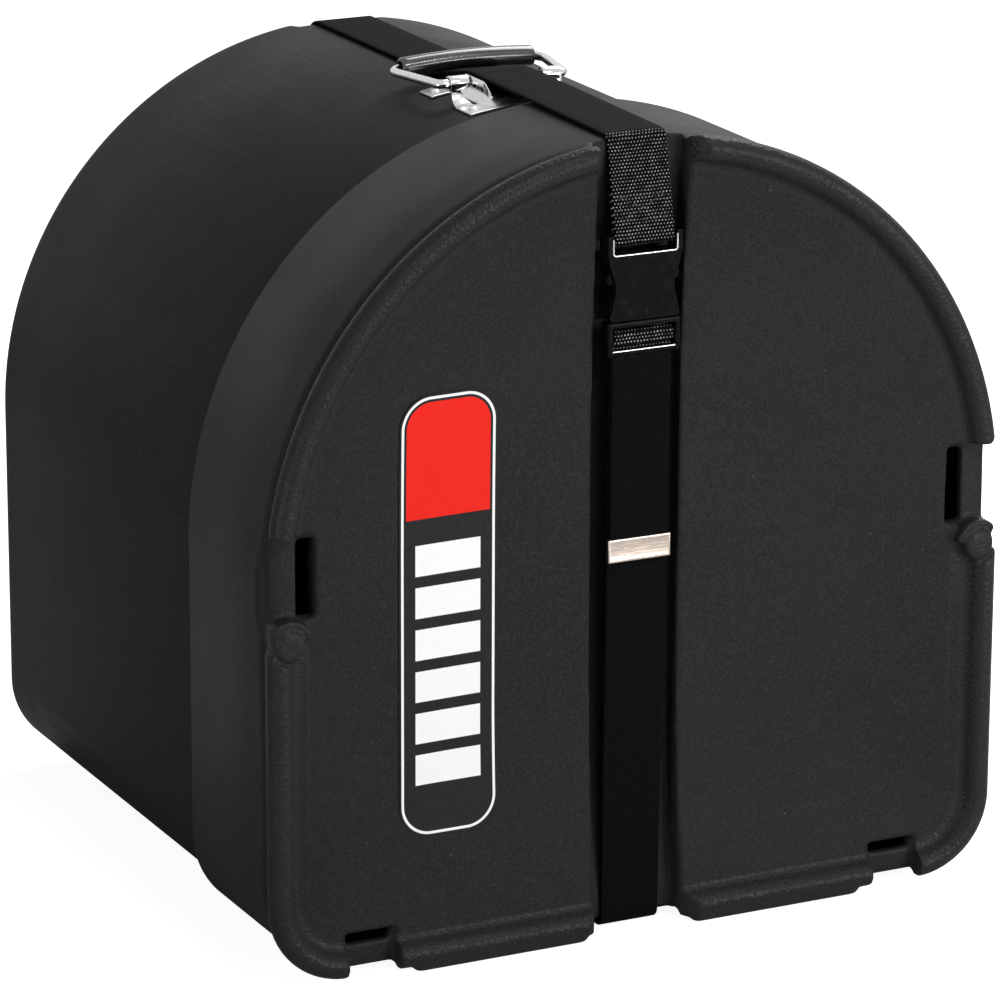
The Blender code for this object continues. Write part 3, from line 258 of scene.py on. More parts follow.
def curve_through(points, steps):
    """More points on a smooth curve through the given ones."""
    points = [Vector(point) for point in points]
    ends = [points[0] * 2 - points[1]] + points + [points[-1] * 2 - points[-2]]
    smooth = []
    for a, b, c, d in zip(ends, ends[1:], ends[2:], ends[3:]):
        for step in range(steps):
            t = step / steps
            smooth.append(0.5 * (2 * b + (c - a) * t + (2 * a - 5 * b + 4 * c - d) * t * t
                                 + (3 * b - a - 3 * c + d) * t ** 3))
    return smooth + [points[-1]]


def rounded_path(points, radius, steps=BEND_STEPS):
    """An open path whose corners are replaced with arcs of the radius."""
    path = [Vector(points[0])]
    for before, corner, after in zip(points, points[1:], points[2:]):
        corner = Vector(corner)
        inward = (Vector(before) - corner).normalized()
        outward = (Vector(after) - corner).normalized()
        half = inward.angle(outward) / 2
        reach = radius / math.tan(half)
        centre = corner + (inward + outward).normalized() * radius / math.sin(half)
        first = (corner + inward * reach - centre).to_3d().normalized()
        last = (corner + outward * reach - centre).to_3d().normalized()
        for step in range(steps + 1):
            turned = first.slerp(last, step / steps) * radius
            path.append(centre + turned.resized(len(centre)))
    path.append(Vector(points[-1]))
    return path


def ways_along(path):
    """The direction of a path at each of its points."""
    return [(after - before).normalized()
            for before, after in zip(path[:1] + path[:-1], path[1:] + path[-1:])]


def close_spaced(path, spacing):
    """The path with points added, so that none lie further apart than the spacing."""
    path = [Vector(point) for point in path]
    dense = [path[0]]
    for start, end in zip(path, path[1:]):
        count = max(1, math.ceil((end - start).length / spacing))
        dense += [start.lerp(end, step / count) for step in range(1, count + 1)]
    return dense


def across(depth, height, x):
    """Places a side outline that prism carries across the case."""
    return (x, back(depth), height)


def along_height(x, depth, height):
    """Places a plan that prism carries upwards."""
    return (x, back(depth), height)


def through(x, height, depth):
    """Places a front outline that prism carries backwards."""
    return (x, back(depth), height)


# Mesh making -----------------------------------------------------------------------

def thicken(bm, faces, shift):
    """Extrudes faces by a shift; the first faces stay as the other side."""
    grown = bmesh.ops.extrude_face_region(bm, geom=faces)
    moved = [item for item in grown["geom"] if isinstance(item, bmesh.types.BMVert)]
    bmesh.ops.translate(bm, verts=moved, vec=shift)


def extrude_rim(bm, edges):
    """Extrudes a skin's open edges and gives the new open edges."""
    grown = bmesh.ops.extrude_edge_only(bm, edges=edges)["geom"]
    return [item for item in grown if isinstance(item, bmesh.types.BMEdge) and item.is_boundary]


def prism(bm, outline, low, high, place):
    """A closed outline carried from low to high; place turns a point into 3-D."""
    start = [bm.verts.new(place(u, v, low)) for u, v in outline]
    face = bm.faces.new(start)
    thicken(bm, [face], Vector(place(0, 0, high)) - Vector(place(0, 0, low)))


def box(bm, low, high):
    made = bmesh.ops.create_cube(bm, size=1)["verts"]
    size = Vector(high) - Vector(low)
    bmesh.ops.scale(bm, verts=made, vec=size)
    bmesh.ops.translate(bm, verts=made, vec=(Vector(low) + Vector(high)) / 2)
    return made


def draw_along(bm, rings):
    """A closed skin drawn by extruding one ring of points through the next ones."""
    order = bm.verts.layers.int.get("order") or bm.verts.layers.int.new("order")
    station = bm.verts.layers.int.get("station") or bm.verts.layers.int.new("station")
    ring = [bm.verts.new(place) for place in rings[0]]
    for index, vertex in enumerate(ring):
        vertex[order] = index
    edges = [bm.edges.new(pair) for pair in zip(ring, ring[1:] + ring[:1])]
    bm.faces.new(ring)
    for number, places in enumerate(rings[1:], 1):
        edges = extrude_rim(bm, edges)
        for vertex in {vertex for edge in edges for vertex in edge.verts}:
            vertex.co = places[vertex[order]]
            vertex[station] = number
    bmesh.ops.contextual_create(bm, geom=edges)


def soften(bm, width, segments=3, angle=35):
    """Bevels the edges that turn by more than an angle."""
    limit = math.radians(angle)
    edges = [edge for edge in bm.edges
             if edge.is_manifold and edge.calc_face_angle(0) > limit]
    bmesh.ops.bevel(bm, geom=edges, offset=width, offset_type="OFFSET", affect="EDGES",
                    segments=segments, profile=0.5, material=-1, clamp_overlap=True)


def object_from(bm, name, finish=None, sharp=35):
    """Turns a bmesh in world coordinates into an object that sits at the origin."""
    bmesh.ops.recalc_face_normals(bm, faces=bm.faces)
    mesh = bpy.data.meshes.new(name)
    bm.to_mesh(mesh)
    bm.free()
    mesh.shade_smooth()
    if sharp:
        mesh.set_sharp_from_angle(angle=math.radians(sharp))
    piece = bpy.data.objects.new(name, mesh)
    bpy.context.scene.collection.objects.link(piece)
    if finish:
        mesh.materials.append(finish)
    return piece


def solid(name, draw, *values):
    """An object that holds what one call of a drawing function makes."""
    bm = bmesh.new()
    draw(bm, *values)
    return object_from(bm, name)


def combine(piece, cutters):
    """Applies exact Booleans in turn and removes the objects that cut."""
    for operation, other in cutters:
        step = piece.modifiers.new("cut", "BOOLEAN")
        step.operation = operation
        step.solver = "EXACT"
        step.object = other
    bake(piece)
    for _, other in cutters:
        bpy.data.objects.remove(other, do_unlink=True)


def bake(piece):
    """Applies a piece's modifiers to its mesh."""
    graph = bpy.context.evaluated_depsgraph_get()
    mesh = bpy.data.meshes.new_from_object(piece.evaluated_get(graph), depsgraph=graph)
    old = piece.data
    piece.modifiers.clear()
    piece.data = mesh
    mesh.name = piece.name
    bpy.data.meshes.remove(old)


def mould(piece, voxel, smoothing, share):
    """Rounds every edge as a moulding has it, by remeshing, smoothing and thinning."""
    step = piece.modifiers.new("remesh", "REMESH")
    step.mode = "VOXEL"
    step.voxel_size = voxel
    step.use_smooth_shade = True
    step = piece.modifiers.new("soft", "SMOOTH")
    step.factor = 0.5
    step.iterations = smoothing
    step = piece.modifiers.new("thin", "DECIMATE")
    step.ratio = share
    bake(piece)


def dress(piece, body, slot, *nodes):
    """The piece rides on a body and stands for its CAD nodes."""
    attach(piece, body)
    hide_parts(*nodes)
    return piece


def stretch(piece, first, second, start, end, node):
    """Webbing that crosses a joint: its CAD node is hidden and the piece stays where it is drawn,
    on no body; first, second, start and end are not used.
    """
    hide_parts(node)
    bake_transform(piece)


# The case's outlines ---------------------------------------------------------------

def corner_at(depth):
    shell = bpy.context.scene.case_shell
    share = smooth_step(2 * depth / shell.bead_length - 1)
    return shell.bead_corner + (shell.corner - shell.bead_corner) * share


def case_outline(inset, depth, rise=0.0):
    """The case's front outline drawn in by the inset: round top, flat bottom."""
    shell = bpy.context.scene.case_shell
    half = shell.radius - inset
    low = shell.foot_drop + inset
    corner = max(corner_at(depth) - inset, half * 0.12)
    arch = 1 + rise / half
    points = [(x, shell.arc_height + z * arch) for x, z in arc((0, 0), half, 0, 180, ARC_STEPS)]
    points += arc((corner - half, low + corner), corner, 180, 270, CORNER_STEPS)
    points += arc((half - corner, low + corner), corner, 270, 360, CORNER_STEPS)
    return [(x, back(depth), z) for x, z in points]


def loft(bm, sections, rise=0.0):
    """A closed skin through case outlines, each an (inset, depth) pair."""
    draw_along(bm, [case_outline(inset, depth, rise) for inset, depth in sections])


def on_outline(place, inset, rise=0.0):
    """The nearest place on the case's outline at this inset, at the same depth."""
    shell = bpy.context.scene.case_shell
    half = shell.radius - inset
    low = shell.foot_drop + inset
    corner = shell.corner - inset
    x, y, z = place
    if z > shell.arc_height:
        arch = 1 + rise / half
        flat = Vector((x, (z - shell.arc_height) / arch)).normalized() * half
        return Vector((flat.x, y, shell.arc_height + flat.y * arch))
    if z > low + corner:
        return Vector((math.copysign(half, x), y, z))
    if abs(x) < half - corner:
        return Vector((x, y, low))
    centre = Vector((math.copysign(half - corner, x), low + corner))
    turned = centre + (Vector((x, z)) - centre).normalized() * corner
    return Vector((turned.x, y, turned.y))


def inset_of(place, rise):
    """How far a place lies inside the lid's outline, seen from the front."""
    shell = bpy.context.scene.case_shell
    x, _, z = place
    corner = shell.corner
    low = shell.foot_drop
    if z > shell.arc_height:
        arch = 1 + rise / shell.radius
        return shell.radius - math.hypot(x, (z - shell.arc_height) / arch)
    if z < low + corner and abs(x) > shell.radius - corner:
        return corner - math.hypot(abs(x) - shell.radius + corner, z - low - corner)
    return min(shell.radius - abs(x), z - low)


def dish_at(inset):
    """How far the face has sunk at this inset from the lid's outline."""
    shell = bpy.context.scene.case_shell
    reach = shell.radius - shell.bead_width
    share = min(max((inset - shell.bead_width) / reach / FACE_FLAT_SHARE, 0), 1)
    return shell.face_dish * (1 - (1 - share) ** FACE_CURVE)


def face_sections(extra_depth):
    """Sections of the dished face from the bead's foot towards its middle."""
    shell = bpy.context.scene.case_shell
    reach = shell.radius - shell.bead_width
    sections = []
    for step in range(FACE_STEPS + 1):
        share = FACE_FLAT_SHARE * step / FACE_STEPS
        inset = shell.bead_width + share * reach
        sections.append((inset, shell.face_setback + extra_depth + dish_at(inset)))
    return sections


def face_depth(height):
    shell = bpy.context.scene.case_shell
    inset = min(height - shell.foot_drop, lid_top() - height)
    return shell.face_setback + dish_at(inset)


def face_heights():
    """Heights at which the face's sections cross its middle, from the bottom up."""
    foot = bpy.context.scene.case_shell.foot_drop
    low = [foot + inset for inset, _ in face_sections(0)]
    high = [lid_top() - inset for inset, _ in reversed(face_sections(0))]
    middle = (foot + lid_top()) / 2
    return [z for z in low if z < middle] + [z for z in high if z > middle]


def bead_sections():
    """The rolled bead from the face's edge, over its crest, to the plain wall."""
    shell = bpy.context.scene.case_shell
    width = shell.bead_width + shell.bead_overhang
    points = [(shell.bead_width - share * width, setback * shell.face_setback)
              for share, setback in BEAD_SHARES]
    points += [(-out * shell.bead_overhang, share * shell.bead_length)
               for out, share in BEAD_BACK_SHARES]
    points += [(shell.groove, 0.78 * shell.bead_length), (shell.groove, 0.84 * shell.bead_length),
               (shell.groove * 0.2, 0.97 * shell.bead_length), (0, 1.08 * shell.bead_length)]
    return [tuple(point) for point in curve_through(points, 4)]


# Finishes --------------------------------------------------------------------------

def add_node(tree, kind, inputs=None, **settings):
    """A node with its settings; an input is given as a value or as an output to link."""
    node = tree.nodes.new(kind)
    for name, value in settings.items():
        setattr(node, name, value)
    for name, value in (inputs or {}).items():
        socket = node.inputs[name]
        if isinstance(value, bpy.types.NodeSocket):
            tree.links.new(value, socket)
        else:
            socket.default_value = value
    return node


class Finish:
    """A material's nodes, made one at a time."""

    def __init__(self, name, base, roughness, metallic=0.0):
        self.material = bpy.data.materials.new(name)
        self.material.use_nodes = True
        self.tree = self.material.node_tree
        self.shader = self.tree.nodes["Principled BSDF"]
        self.set("Base Color", (*base, 1.0))
        self.set("Roughness", roughness)
        self.set("Metallic", metallic)

    def set(self, socket, value):
        self.shader.inputs[socket].default_value = value

    def add(self, kind, inputs=None, **settings):
        return add_node(self.tree, kind, inputs, **settings)

    def maths(self, operation, first, second=0.0, third=0.0):
        inputs = {0: first, 1: second, 2: third}
        return self.add("ShaderNodeMath", inputs, operation=operation).outputs[0]

    def place(self, scale=1.0, uv=False, stretch=(1, 1, 1)):
        where = self.add("ShaderNodeTexCoord")
        out = where.outputs["UV" if uv else "Object"]
        size = tuple(scale * share for share in stretch)
        return self.add("ShaderNodeMapping", {"Vector": out, "Scale": size}).outputs[0]

    def noise(self, size, detail=2.0, roughness=0.5, stretch=(1, 1, 1), uv=False):
        """Noise whose grains are about this many metres across."""
        vector = self.place(1 / size, uv, stretch)
        return self.add("ShaderNodeTexNoise", {"Vector": vector, "Scale": 1.0, "Detail": detail,
                                               "Roughness": roughness}).outputs["Fac"]

    def cells(self, size, smooth=0.0):
        """Distance from the middle of cells of about this size, with soft borders or not."""
        inputs = {"Vector": self.place(1 / size), "Scale": 1.0}
        if smooth:
            inputs["Smoothness"] = smooth
        feature = "SMOOTH_F1" if smooth else "F1"
        return self.add("ShaderNodeTexVoronoi", inputs, feature=feature).outputs["Distance"]

    def ramp(self, value, low, high, start=0.0, end=1.0):
        """A value carried from one range to another, held at its ends."""
        return self.add("ShaderNodeMapRange", {"Value": value, "From Min": low, "From Max": high,
                                               "To Min": start, "To Max": end},
                        interpolation_type="SMOOTHSTEP").outputs[0]

    def mix(self, share, first, second):
        """Two colours mixed; the node's sockets for colours are 6 and 7 in, 2 out."""
        inputs = {0: share, 6: first, 7: second}
        return self.add("ShaderNodeMix", inputs, data_type="RGBA").outputs[2]

    def attribute(self, name):
        return self.add("ShaderNodeAttribute", attribute_name=name).outputs["Fac"]

    def link(self, output, socket):
        self.tree.links.new(output, self.shader.inputs[socket])

    def bump(self, height, distance, strength=1.0, under=None):
        inputs = {"Height": height, "Distance": distance, "Strength": strength}
        if under is not None:
            inputs["Normal"] = under
        return self.add("ShaderNodeBump", inputs).outputs[0]


def shade(base, factor):
    """A colour made lighter or darker by a factor."""
    return (*(min(channel * factor, 1.0) for channel in base), 1.0)


def plastic_finish():
    """Satin black moulding with a fine grain, pebbled and shinier on the bead; the bead and knobs
    carry a painted highlight.
    """
    base = bpy.context.scene.case_finish.plastic
    finish = Finish("moulded plastic", base, 0.5)
    finish.set("Specular IOR Level", 0.07)
    pebble = finish.attribute("pebble")
    cloud = finish.noise(0.09, 1.0, 0.4)
    fine = finish.noise(0.0014, 3.0, 0.65)
    tone = finish.mix(finish.ramp(cloud, 0.3, 0.7), shade(base, 0.78), shade(base, 0.90))
    tone = finish.mix(finish.ramp(fine, 0.40, 0.68, 0.0, 0.5), tone, shade(base, 2.3))
    dust = finish.ramp(finish.cells(0.016), 0.0, 0.05, 1.0, 0.0)
    tone = finish.mix(finish.maths("MULTIPLY", dust, 0.75), tone, shade(base, 7.0))
    # Painted highlight: the bead and knobs are painted lighter where they are pebbled
    tone = finish.mix(finish.maths("MULTIPLY", pebble, 0.4), tone, shade(base, 2.0))
    finish.link(tone, "Base Color")
    rough = finish.ramp(finish.noise(0.05, 2.0, 0.5), 0.3, 0.7, 0.47, 0.52)
    rough = finish.maths("MULTIPLY_ADD", pebble, -0.16, rough)
    finish.link(rough, "Roughness")
    grain = finish.bump(finish.noise(0.0009, 2.0, 0.6), 0.00010, 0.6)
    pebbles = finish.cells(0.0021, 0.45)
    pebbles = finish.maths("MULTIPLY", pebbles, pebble)
    finish.link(finish.bump(pebbles, -0.00034, 1.0, grain), "Normal")
    return finish.material


def webbing_finish(name="strap webbing", gleam=1.0):
    """Nylon webbing: rows of staggered dashes, ribs between them, and fibres; the dash tops carry
    a painted highlight in pale thread colour, as strong as gleam above a height and dark below it.
    """
    strap = bpy.context.scene.case_strap
    look = bpy.context.scene.case_finish
    finish = Finish(name, look.webbing, 0.62)
    finish.set("Specular IOR Level", 0.04)
    where = finish.add("ShaderNodeSeparateXYZ", {"Vector": finish.place(1.0, uv=True)})
    wobble = finish.maths("MULTIPLY", finish.noise(0.009, 2.0, 0.5, uv=True), 0.0009)
    along = finish.maths("ADD", where.outputs[1], wobble)
    turn = 2 * math.pi
    dash = finish.maths("COSINE", finish.maths("MULTIPLY", where.outputs[0], turn / strap.pick))
    row = finish.maths("COSINE", finish.maths("MULTIPLY", along, turn / (2 * strap.row)))
    staggered = finish.maths("MULTIPLY_ADD", finish.maths("MULTIPLY", dash, row), 0.5, 0.5)
    weave = finish.maths("MULTIPLY", finish.maths("MULTIPLY", row, row), staggered)
    fibres = finish.noise(0.0005, 2.0, 0.6, (1, 0.18, 1), uv=True)
    patches = finish.noise(0.006, 2.0, 0.6, uv=True)
    lifted = finish.maths("ADD", patches, finish.maths("SUBTRACT", weave, 0.5))
    tops = finish.ramp(lifted, 0.45, 1.0)
    height = finish.add("ShaderNodeSeparateXYZ", {"Vector": finish.place()}).outputs[2]
    # Painted highlight and shade: dash tops are painted pale above this height, where the top
    # light falls, and dark below it
    painted_highlight_by_height = finish.ramp(height, 0.350, 0.362, 0.012, gleam)
    ground = (*look.webbing, 1.0)
    tone = finish.mix(painted_highlight_by_height, ground, (*look.thread, 1.0))
    tone = finish.mix(tops, ground, tone)
    tone = finish.mix(finish.ramp(fibres, 0.45, 0.75, 0.0, 0.4), tone, shade(look.webbing, 0.5))
    finish.link(tone, "Base Color")
    finish.link(finish.ramp(tops, 0.0, 1.0, 0.75, 0.72 - 0.32 * gleam), "Roughness")
    raised = finish.maths("MULTIPLY_ADD", fibres, 0.35, weave)
    finish.link(finish.bump(raised, 0.00004 + 0.00026 * gleam, 0.9), "Normal")
    return finish.material


def thread_finish():
    """Waxed black thread."""
    base = bpy.context.scene.case_finish.webbing
    finish = Finish("sewing thread", base, 0.38)
    twist = finish.noise(0.0005, 2.0, 0.5)
    finish.link(finish.mix(finish.ramp(twist, 0.4, 0.7), shade(base, 4.0), shade(base, 14.0)),
                "Base Color")
    finish.link(finish.bump(twist, 0.0001, 0.6), "Normal")
    return finish.material


def acetal_finish():
    """Glossy black moulding with faint handling marks."""
    base = bpy.context.scene.case_finish.acetal
    finish = Finish("buckle plastic", base, 0.12)
    finish.set("Specular IOR Level", 0.06)
    marks = finish.noise(0.006, 4.0, 0.7)
    finish.link(finish.mix(finish.ramp(marks, 0.55, 0.8), (*base, 1.0), shade(base, 2.6)),
                "Base Color")
    finish.link(finish.ramp(marks, 0.35, 0.75, 0.10, 0.26), "Roughness")
    finish.link(finish.bump(finish.noise(0.004, 2.0, 0.5), 0.00010, 0.3), "Normal")
    return finish.material


def highlight_lip_finish():
    """Pale metal for the buckle's lips, a painted highlight that gleams along their whole length.
    """
    finish = Finish("polished lip", bpy.context.scene.case_finish.highlight_lip, 0.16, 0.9)
    finish.link(finish.ramp(finish.noise(0.004, 2.0, 0.5), 0.3, 0.7, 0.12, 0.24), "Roughness")
    return finish.material


def chrome_finish(name="plated chrome", satin=0.0):
    """Bright plate over stamped steel, a little wavy, satin where it is pressed flat."""
    base = bpy.context.scene.case_finish.chrome
    finish = Finish(name, base, 0.08, 1.0)
    marks = finish.noise(0.0035, 4.0, 0.7)
    finish.link(finish.mix(finish.ramp(marks, 0.55, 0.8, 0.0, 0.7), (*base, 1.0),
                           shade(base, 0.62)), "Base Color")
    rough = finish.ramp(marks, 0.4, 0.75, 0.06, 0.22)
    if satin:
        height = finish.add("ShaderNodeSeparateXYZ", {"Vector": finish.place()}).outputs[2]
        low = finish.ramp(height, body_top() + 0.002, body_top() + 0.006, satin, 0.0)
        rough = finish.maths("ADD", rough, low)
    finish.link(rough, "Roughness")
    finish.link(finish.bump(finish.noise(0.007, 1.0, 0.4), 0.00025, 0.35), "Normal")
    return finish.material


def tip_finish():
    """Warm nickel, brushed along the strap's width."""
    base = bpy.context.scene.case_finish.tip
    finish = Finish("tip metal", base, 0.24, 1.0)
    brush = finish.noise(0.0004, 3.0, 0.6, (0.04, 1, 1))
    finish.link(finish.mix(finish.ramp(brush, 0.3, 0.7), shade(base, 0.85), shade(base, 1.1)),
                "Base Color")
    finish.link(finish.ramp(brush, 0.3, 0.7, 0.18, 0.34), "Roughness")
    finish.link(finish.bump(brush, 0.00003, 0.5), "Normal")
    return finish.material


def vinyl_finish():
    """Black vinyl sleeve, soft sheen with faint drawn lines."""
    base = bpy.context.scene.case_finish.vinyl
    finish = Finish("sleeve vinyl", base, 0.22)
    finish.set("Specular IOR Level", 0.9)
    lines = finish.noise(0.0009, 3.0, 0.6, (0.06, 1, 1))
    finish.link(finish.mix(finish.ramp(lines, 0.4, 0.8), (*base, 1.0), shade(base, 2.0)),
                "Base Color")
    finish.link(finish.ramp(lines, 0.3, 0.7, 0.13, 0.24), "Roughness")
    finish.link(finish.bump(finish.noise(0.0012, 3.0, 0.6), 0.00006, 0.5), "Normal")
    return finish.material


def foam_finish():
    """Open-cell foam, with painted shade in the middle of each pore."""
    base = bpy.context.scene.case_finish.foam
    finish = Finish("cut foam", base, 0.95)
    pores_and_pit_shade = finish.cells(0.0016)
    # Painted shade: each pore is painted darker towards its sunken middle
    finish.link(finish.mix(finish.ramp(pores_and_pit_shade, 0.15, 0.6), shade(base, 0.35), shade(base, 1.2)),
                "Base Color")
    finish.link(finish.bump(pores_and_pit_shade, 0.0008, 0.8), "Normal")
    return finish.material


# Heights on the sticker, from its middle
FIELD_LOW = 0.0590
PANEL_TOP = 0.0435
PANEL_PITCH = 0.0252
PANEL_HEIGHT = 0.0185


def sticker_finish(half_width, half_length, corner):
    """A dark sticker with a pale edge line, a warm field and six pale panels."""
    look = bpy.context.scene.case_finish
    finish = Finish("sticker", look.sticker, 0.32)
    finish.set("Specular IOR Level", 0.12)
    where = finish.add("ShaderNodeSeparateXYZ", {"Vector": finish.place(1.0, uv=True)})
    side = finish.maths("ABSOLUTE", where.outputs[0])
    end = finish.maths("ABSOLUTE", where.outputs[1])
    past_side = finish.maths("MAXIMUM", finish.maths("SUBTRACT", side, half_width - corner), 0.0)
    past_end = finish.maths("MAXIMUM", finish.maths("SUBTRACT", end, half_length - corner), 0.0)
    squares = finish.maths("MULTIPLY", past_side, past_side)
    reach = finish.maths("SQRT", finish.maths("MULTIPLY_ADD", past_end, past_end, squares))
    inside = finish.maths("SUBTRACT", corner, reach)
    line = finish.maths("MULTIPLY", finish.ramp(inside, 0.0012, 0.0015),
                        finish.ramp(inside, 0.0028, 0.0031, 1.0, 0.0))
    clear = finish.ramp(inside, 0.0044, 0.0047)
    panel = finish.ramp(inside, 0.0104, 0.0107)

    def bar(low, high):
        height, edge = where.outputs[1], 0.0003
        return finish.maths("MULTIPLY", finish.ramp(height, low, low + edge),
                            finish.ramp(height, high, high + edge, 1.0, 0.0))

    field = finish.maths("MULTIPLY", bar(FIELD_LOW, half_length), clear)
    tone = finish.mix(field, (*look.sticker, 1.0), (*look.sticker_bar, 1.0))
    for number in range(6):
        high = PANEL_TOP - PANEL_PITCH * number
        pale = finish.maths("MULTIPLY", bar(high - PANEL_HEIGHT, high), panel)
        tone = finish.mix(pale, tone, (*look.sticker_line, 1.0))
    tone = finish.mix(line, tone, (*look.sticker_line, 1.0))
    wear = finish.noise(0.003, 4.0, 0.7)
    tone = finish.mix(finish.ramp(wear, 0.62, 0.8, 0.0, 0.22), tone, shade(look.sticker, 3.0))
    finish.link(tone, "Base Color")
    finish.link(finish.ramp(wear, 0.3, 0.7, 0.26, 0.42), "Roughness")
    finish.link(finish.bump(finish.noise(0.0012, 2.0, 0.6), 0.00005, 0.5), "Normal")
    return finish.material


def finish_named(name, make, *values):
    """A material that several pieces share is made once."""
    return bpy.data.materials.get(name) or make(*values)


# The lid ---------------------------------------------------------------------------

def channel_cutter():
    """What the strap's channel removes from the lid, rounded where the strap turns over the lid's
    top and bottom edges.
    """
    shell = bpy.context.scene.case_shell
    edge = FRONT_EDGE
    turn = channel_start() + edge
    low, high = shell.foot_drop + edge, lid_top() - edge
    outline = [(-OVERRUN, shell.foot_drop - OVERRUN), (turn, shell.foot_drop - OVERRUN)]
    outline += arc((turn, low), edge, 270, 180, BEND_STEPS)
    outline += [(face_depth(z) + shell.channel_depth, z) for z in face_heights()]
    outline += arc((turn, high), edge, 180, 90, BEND_STEPS)
    outline += [(turn, lid_top() + OVERRUN), (-OVERRUN, lid_top() + OVERRUN)]
    half = shell.channel_width / 2
    return solid("cut channel", prism, outline, -half, half, across)


def flare_cutter():
    """Slopes off the ends of the bead beside the channel."""
    shell = bpy.context.scene.case_shell
    half = shell.channel_width / 2
    low, high = shell.foot_drop - OVERRUN, lid_top() + OVERRUN
    plan = [(-half - out, depth) for out, depth in FLARE_LEFT]
    plan += [(half + out, depth) for out, depth in reversed(FLARE_RIGHT)]
    return solid("cut flare", prism, plan, low, high, along_height)


def crest_cutter():
    """Slopes the bead's overhang down to the channel at the top."""
    shell = bpy.context.scene.case_shell
    half = shell.channel_width / 2
    high = lid_top() + OVERRUN
    bm = bmesh.new()
    for side in (-1, 1):
        view = []
        for out, lift in CREST_SLOPE:
            x = half + out
            arch = math.sqrt(shell.radius ** 2 - x ** 2) * (1 + shell.rise / shell.radius)
            view.append((side * x, shell.arc_height + arch + lift))
        view += [(side * (half + out), high) for out in (CREST_SLOPE[-1][0], CREST_SLOPE[0][0])]
        prism(bm, view, -OVERRUN, shell.bead_length * 1.1, through)
    return object_from(bm, "cut crest")


def lid_boss():
    """The wall that stands inside the lid behind its channel."""
    shell = bpy.context.scene.case_shell
    half = shell.channel_width / 2 + shell.wall
    drop = shell.radius - math.sqrt(shell.radius ** 2 - half ** 2)
    heights = [shell.foot_drop + shell.wall / 2] + face_heights()
    heights += [lid_top() - drop - shell.wall / 4]
    outline = [(face_depth(z) + shell.wall / 2, z) for z in heights]
    outline += [(face_depth(z) + shell.channel_depth + shell.wall, z) for z in reversed(heights)]
    return solid("add boss", prism, outline, -half, half, across)


# The side and bottom slots, the gaps in the bead beside them, and the knobs in their collars
SLOT_HEIGHT = 0.2466
SLOT_HALF = 0.023
SLOT_WIDTH = 0.011
SLOT_INSET = 0.0187
LOW_SLOT_X = 0.1735
LOW_SLOT_HALF = 0.014
LOW_SLOT_WIDTH = 0.008
LOW_SLOT_INSET = 0.0152
STRIP_SETBACK = 0.0125
NOTCH_MARGIN = 0.0025
BEAD_END = (0.0085, 0.014)
KNOB_RADIUS = 0.0098
KNOB_DROP = 0.0108
KNOB_INSET = 0.0106
KNOB_FRONT = 0.0008
COLLAR_RADIUS = 0.0148
COLLAR_BORE = 0.0118

# The hand scoop's section: how far in from the wall, and how far behind the slot's strip
SCOOP = [(0.0187, 0.0), (0.0140, 0.0001), (0.0090, 0.0003), (0.0055, 0.0008), (0.0030, 0.0014),
         (0.0018, 0.0036), (0.0014, 0.0070), (0.0010, 0.0110), (0.0002, 0.0142),
         (-0.0016, 0.0180), (-0.0045, 0.0230), (-0.010, 0.032)]


def notch_plan(inner, edge):
    """The side outline of the gap in front of a bottom slot, as (inset, depth) pairs."""
    outline = [(inner, -OVERRUN), (inner, STRIP_SETBACK)]
    outline += arc((edge, STRIP_SETBACK + edge), edge, 270, 180, BEND_STEPS)
    return outline + [(-OVERRUN, STRIP_SETBACK + edge), (-OVERRUN, -OVERRUN)]


def scoop_share(height):
    """How deep the hand scoop behind a side slot is at a height, from 0 to 1."""
    top = SLOT_HEIGHT + SLOT_HALF + NOTCH_MARGIN
    fade = smooth_step((height - knob_low() + 0.021) / 0.026)
    return fade * min(1, math.sqrt(max(top - height, 0) / 0.010 + 0.04))


def bead_end_rings(side, top):
    """Rounds the bead's outer corner where it ends above a side notch."""
    shell = bpy.context.scene.case_shell
    share = scoop_share(top)
    wide, high = BEAD_END
    rings = []
    for step in range(12):
        turn = math.radians(90 * step / 12)
        above = high * (1 - math.sin(turn))
        reach = wide * (1 - math.cos(turn)) - shell.bead_overhang
        plan = [(reach, -OVERRUN), (reach, STRIP_SETBACK)]
        plan += [(min(inset, reach), STRIP_SETBACK + depth * share) for inset, depth in SCOOP]
        plan.append((-OVERRUN, -OVERRUN))
        rings.append([(side * (shell.radius - inset), back(depth), top + above)
                      for inset, depth in plan])
    return rings


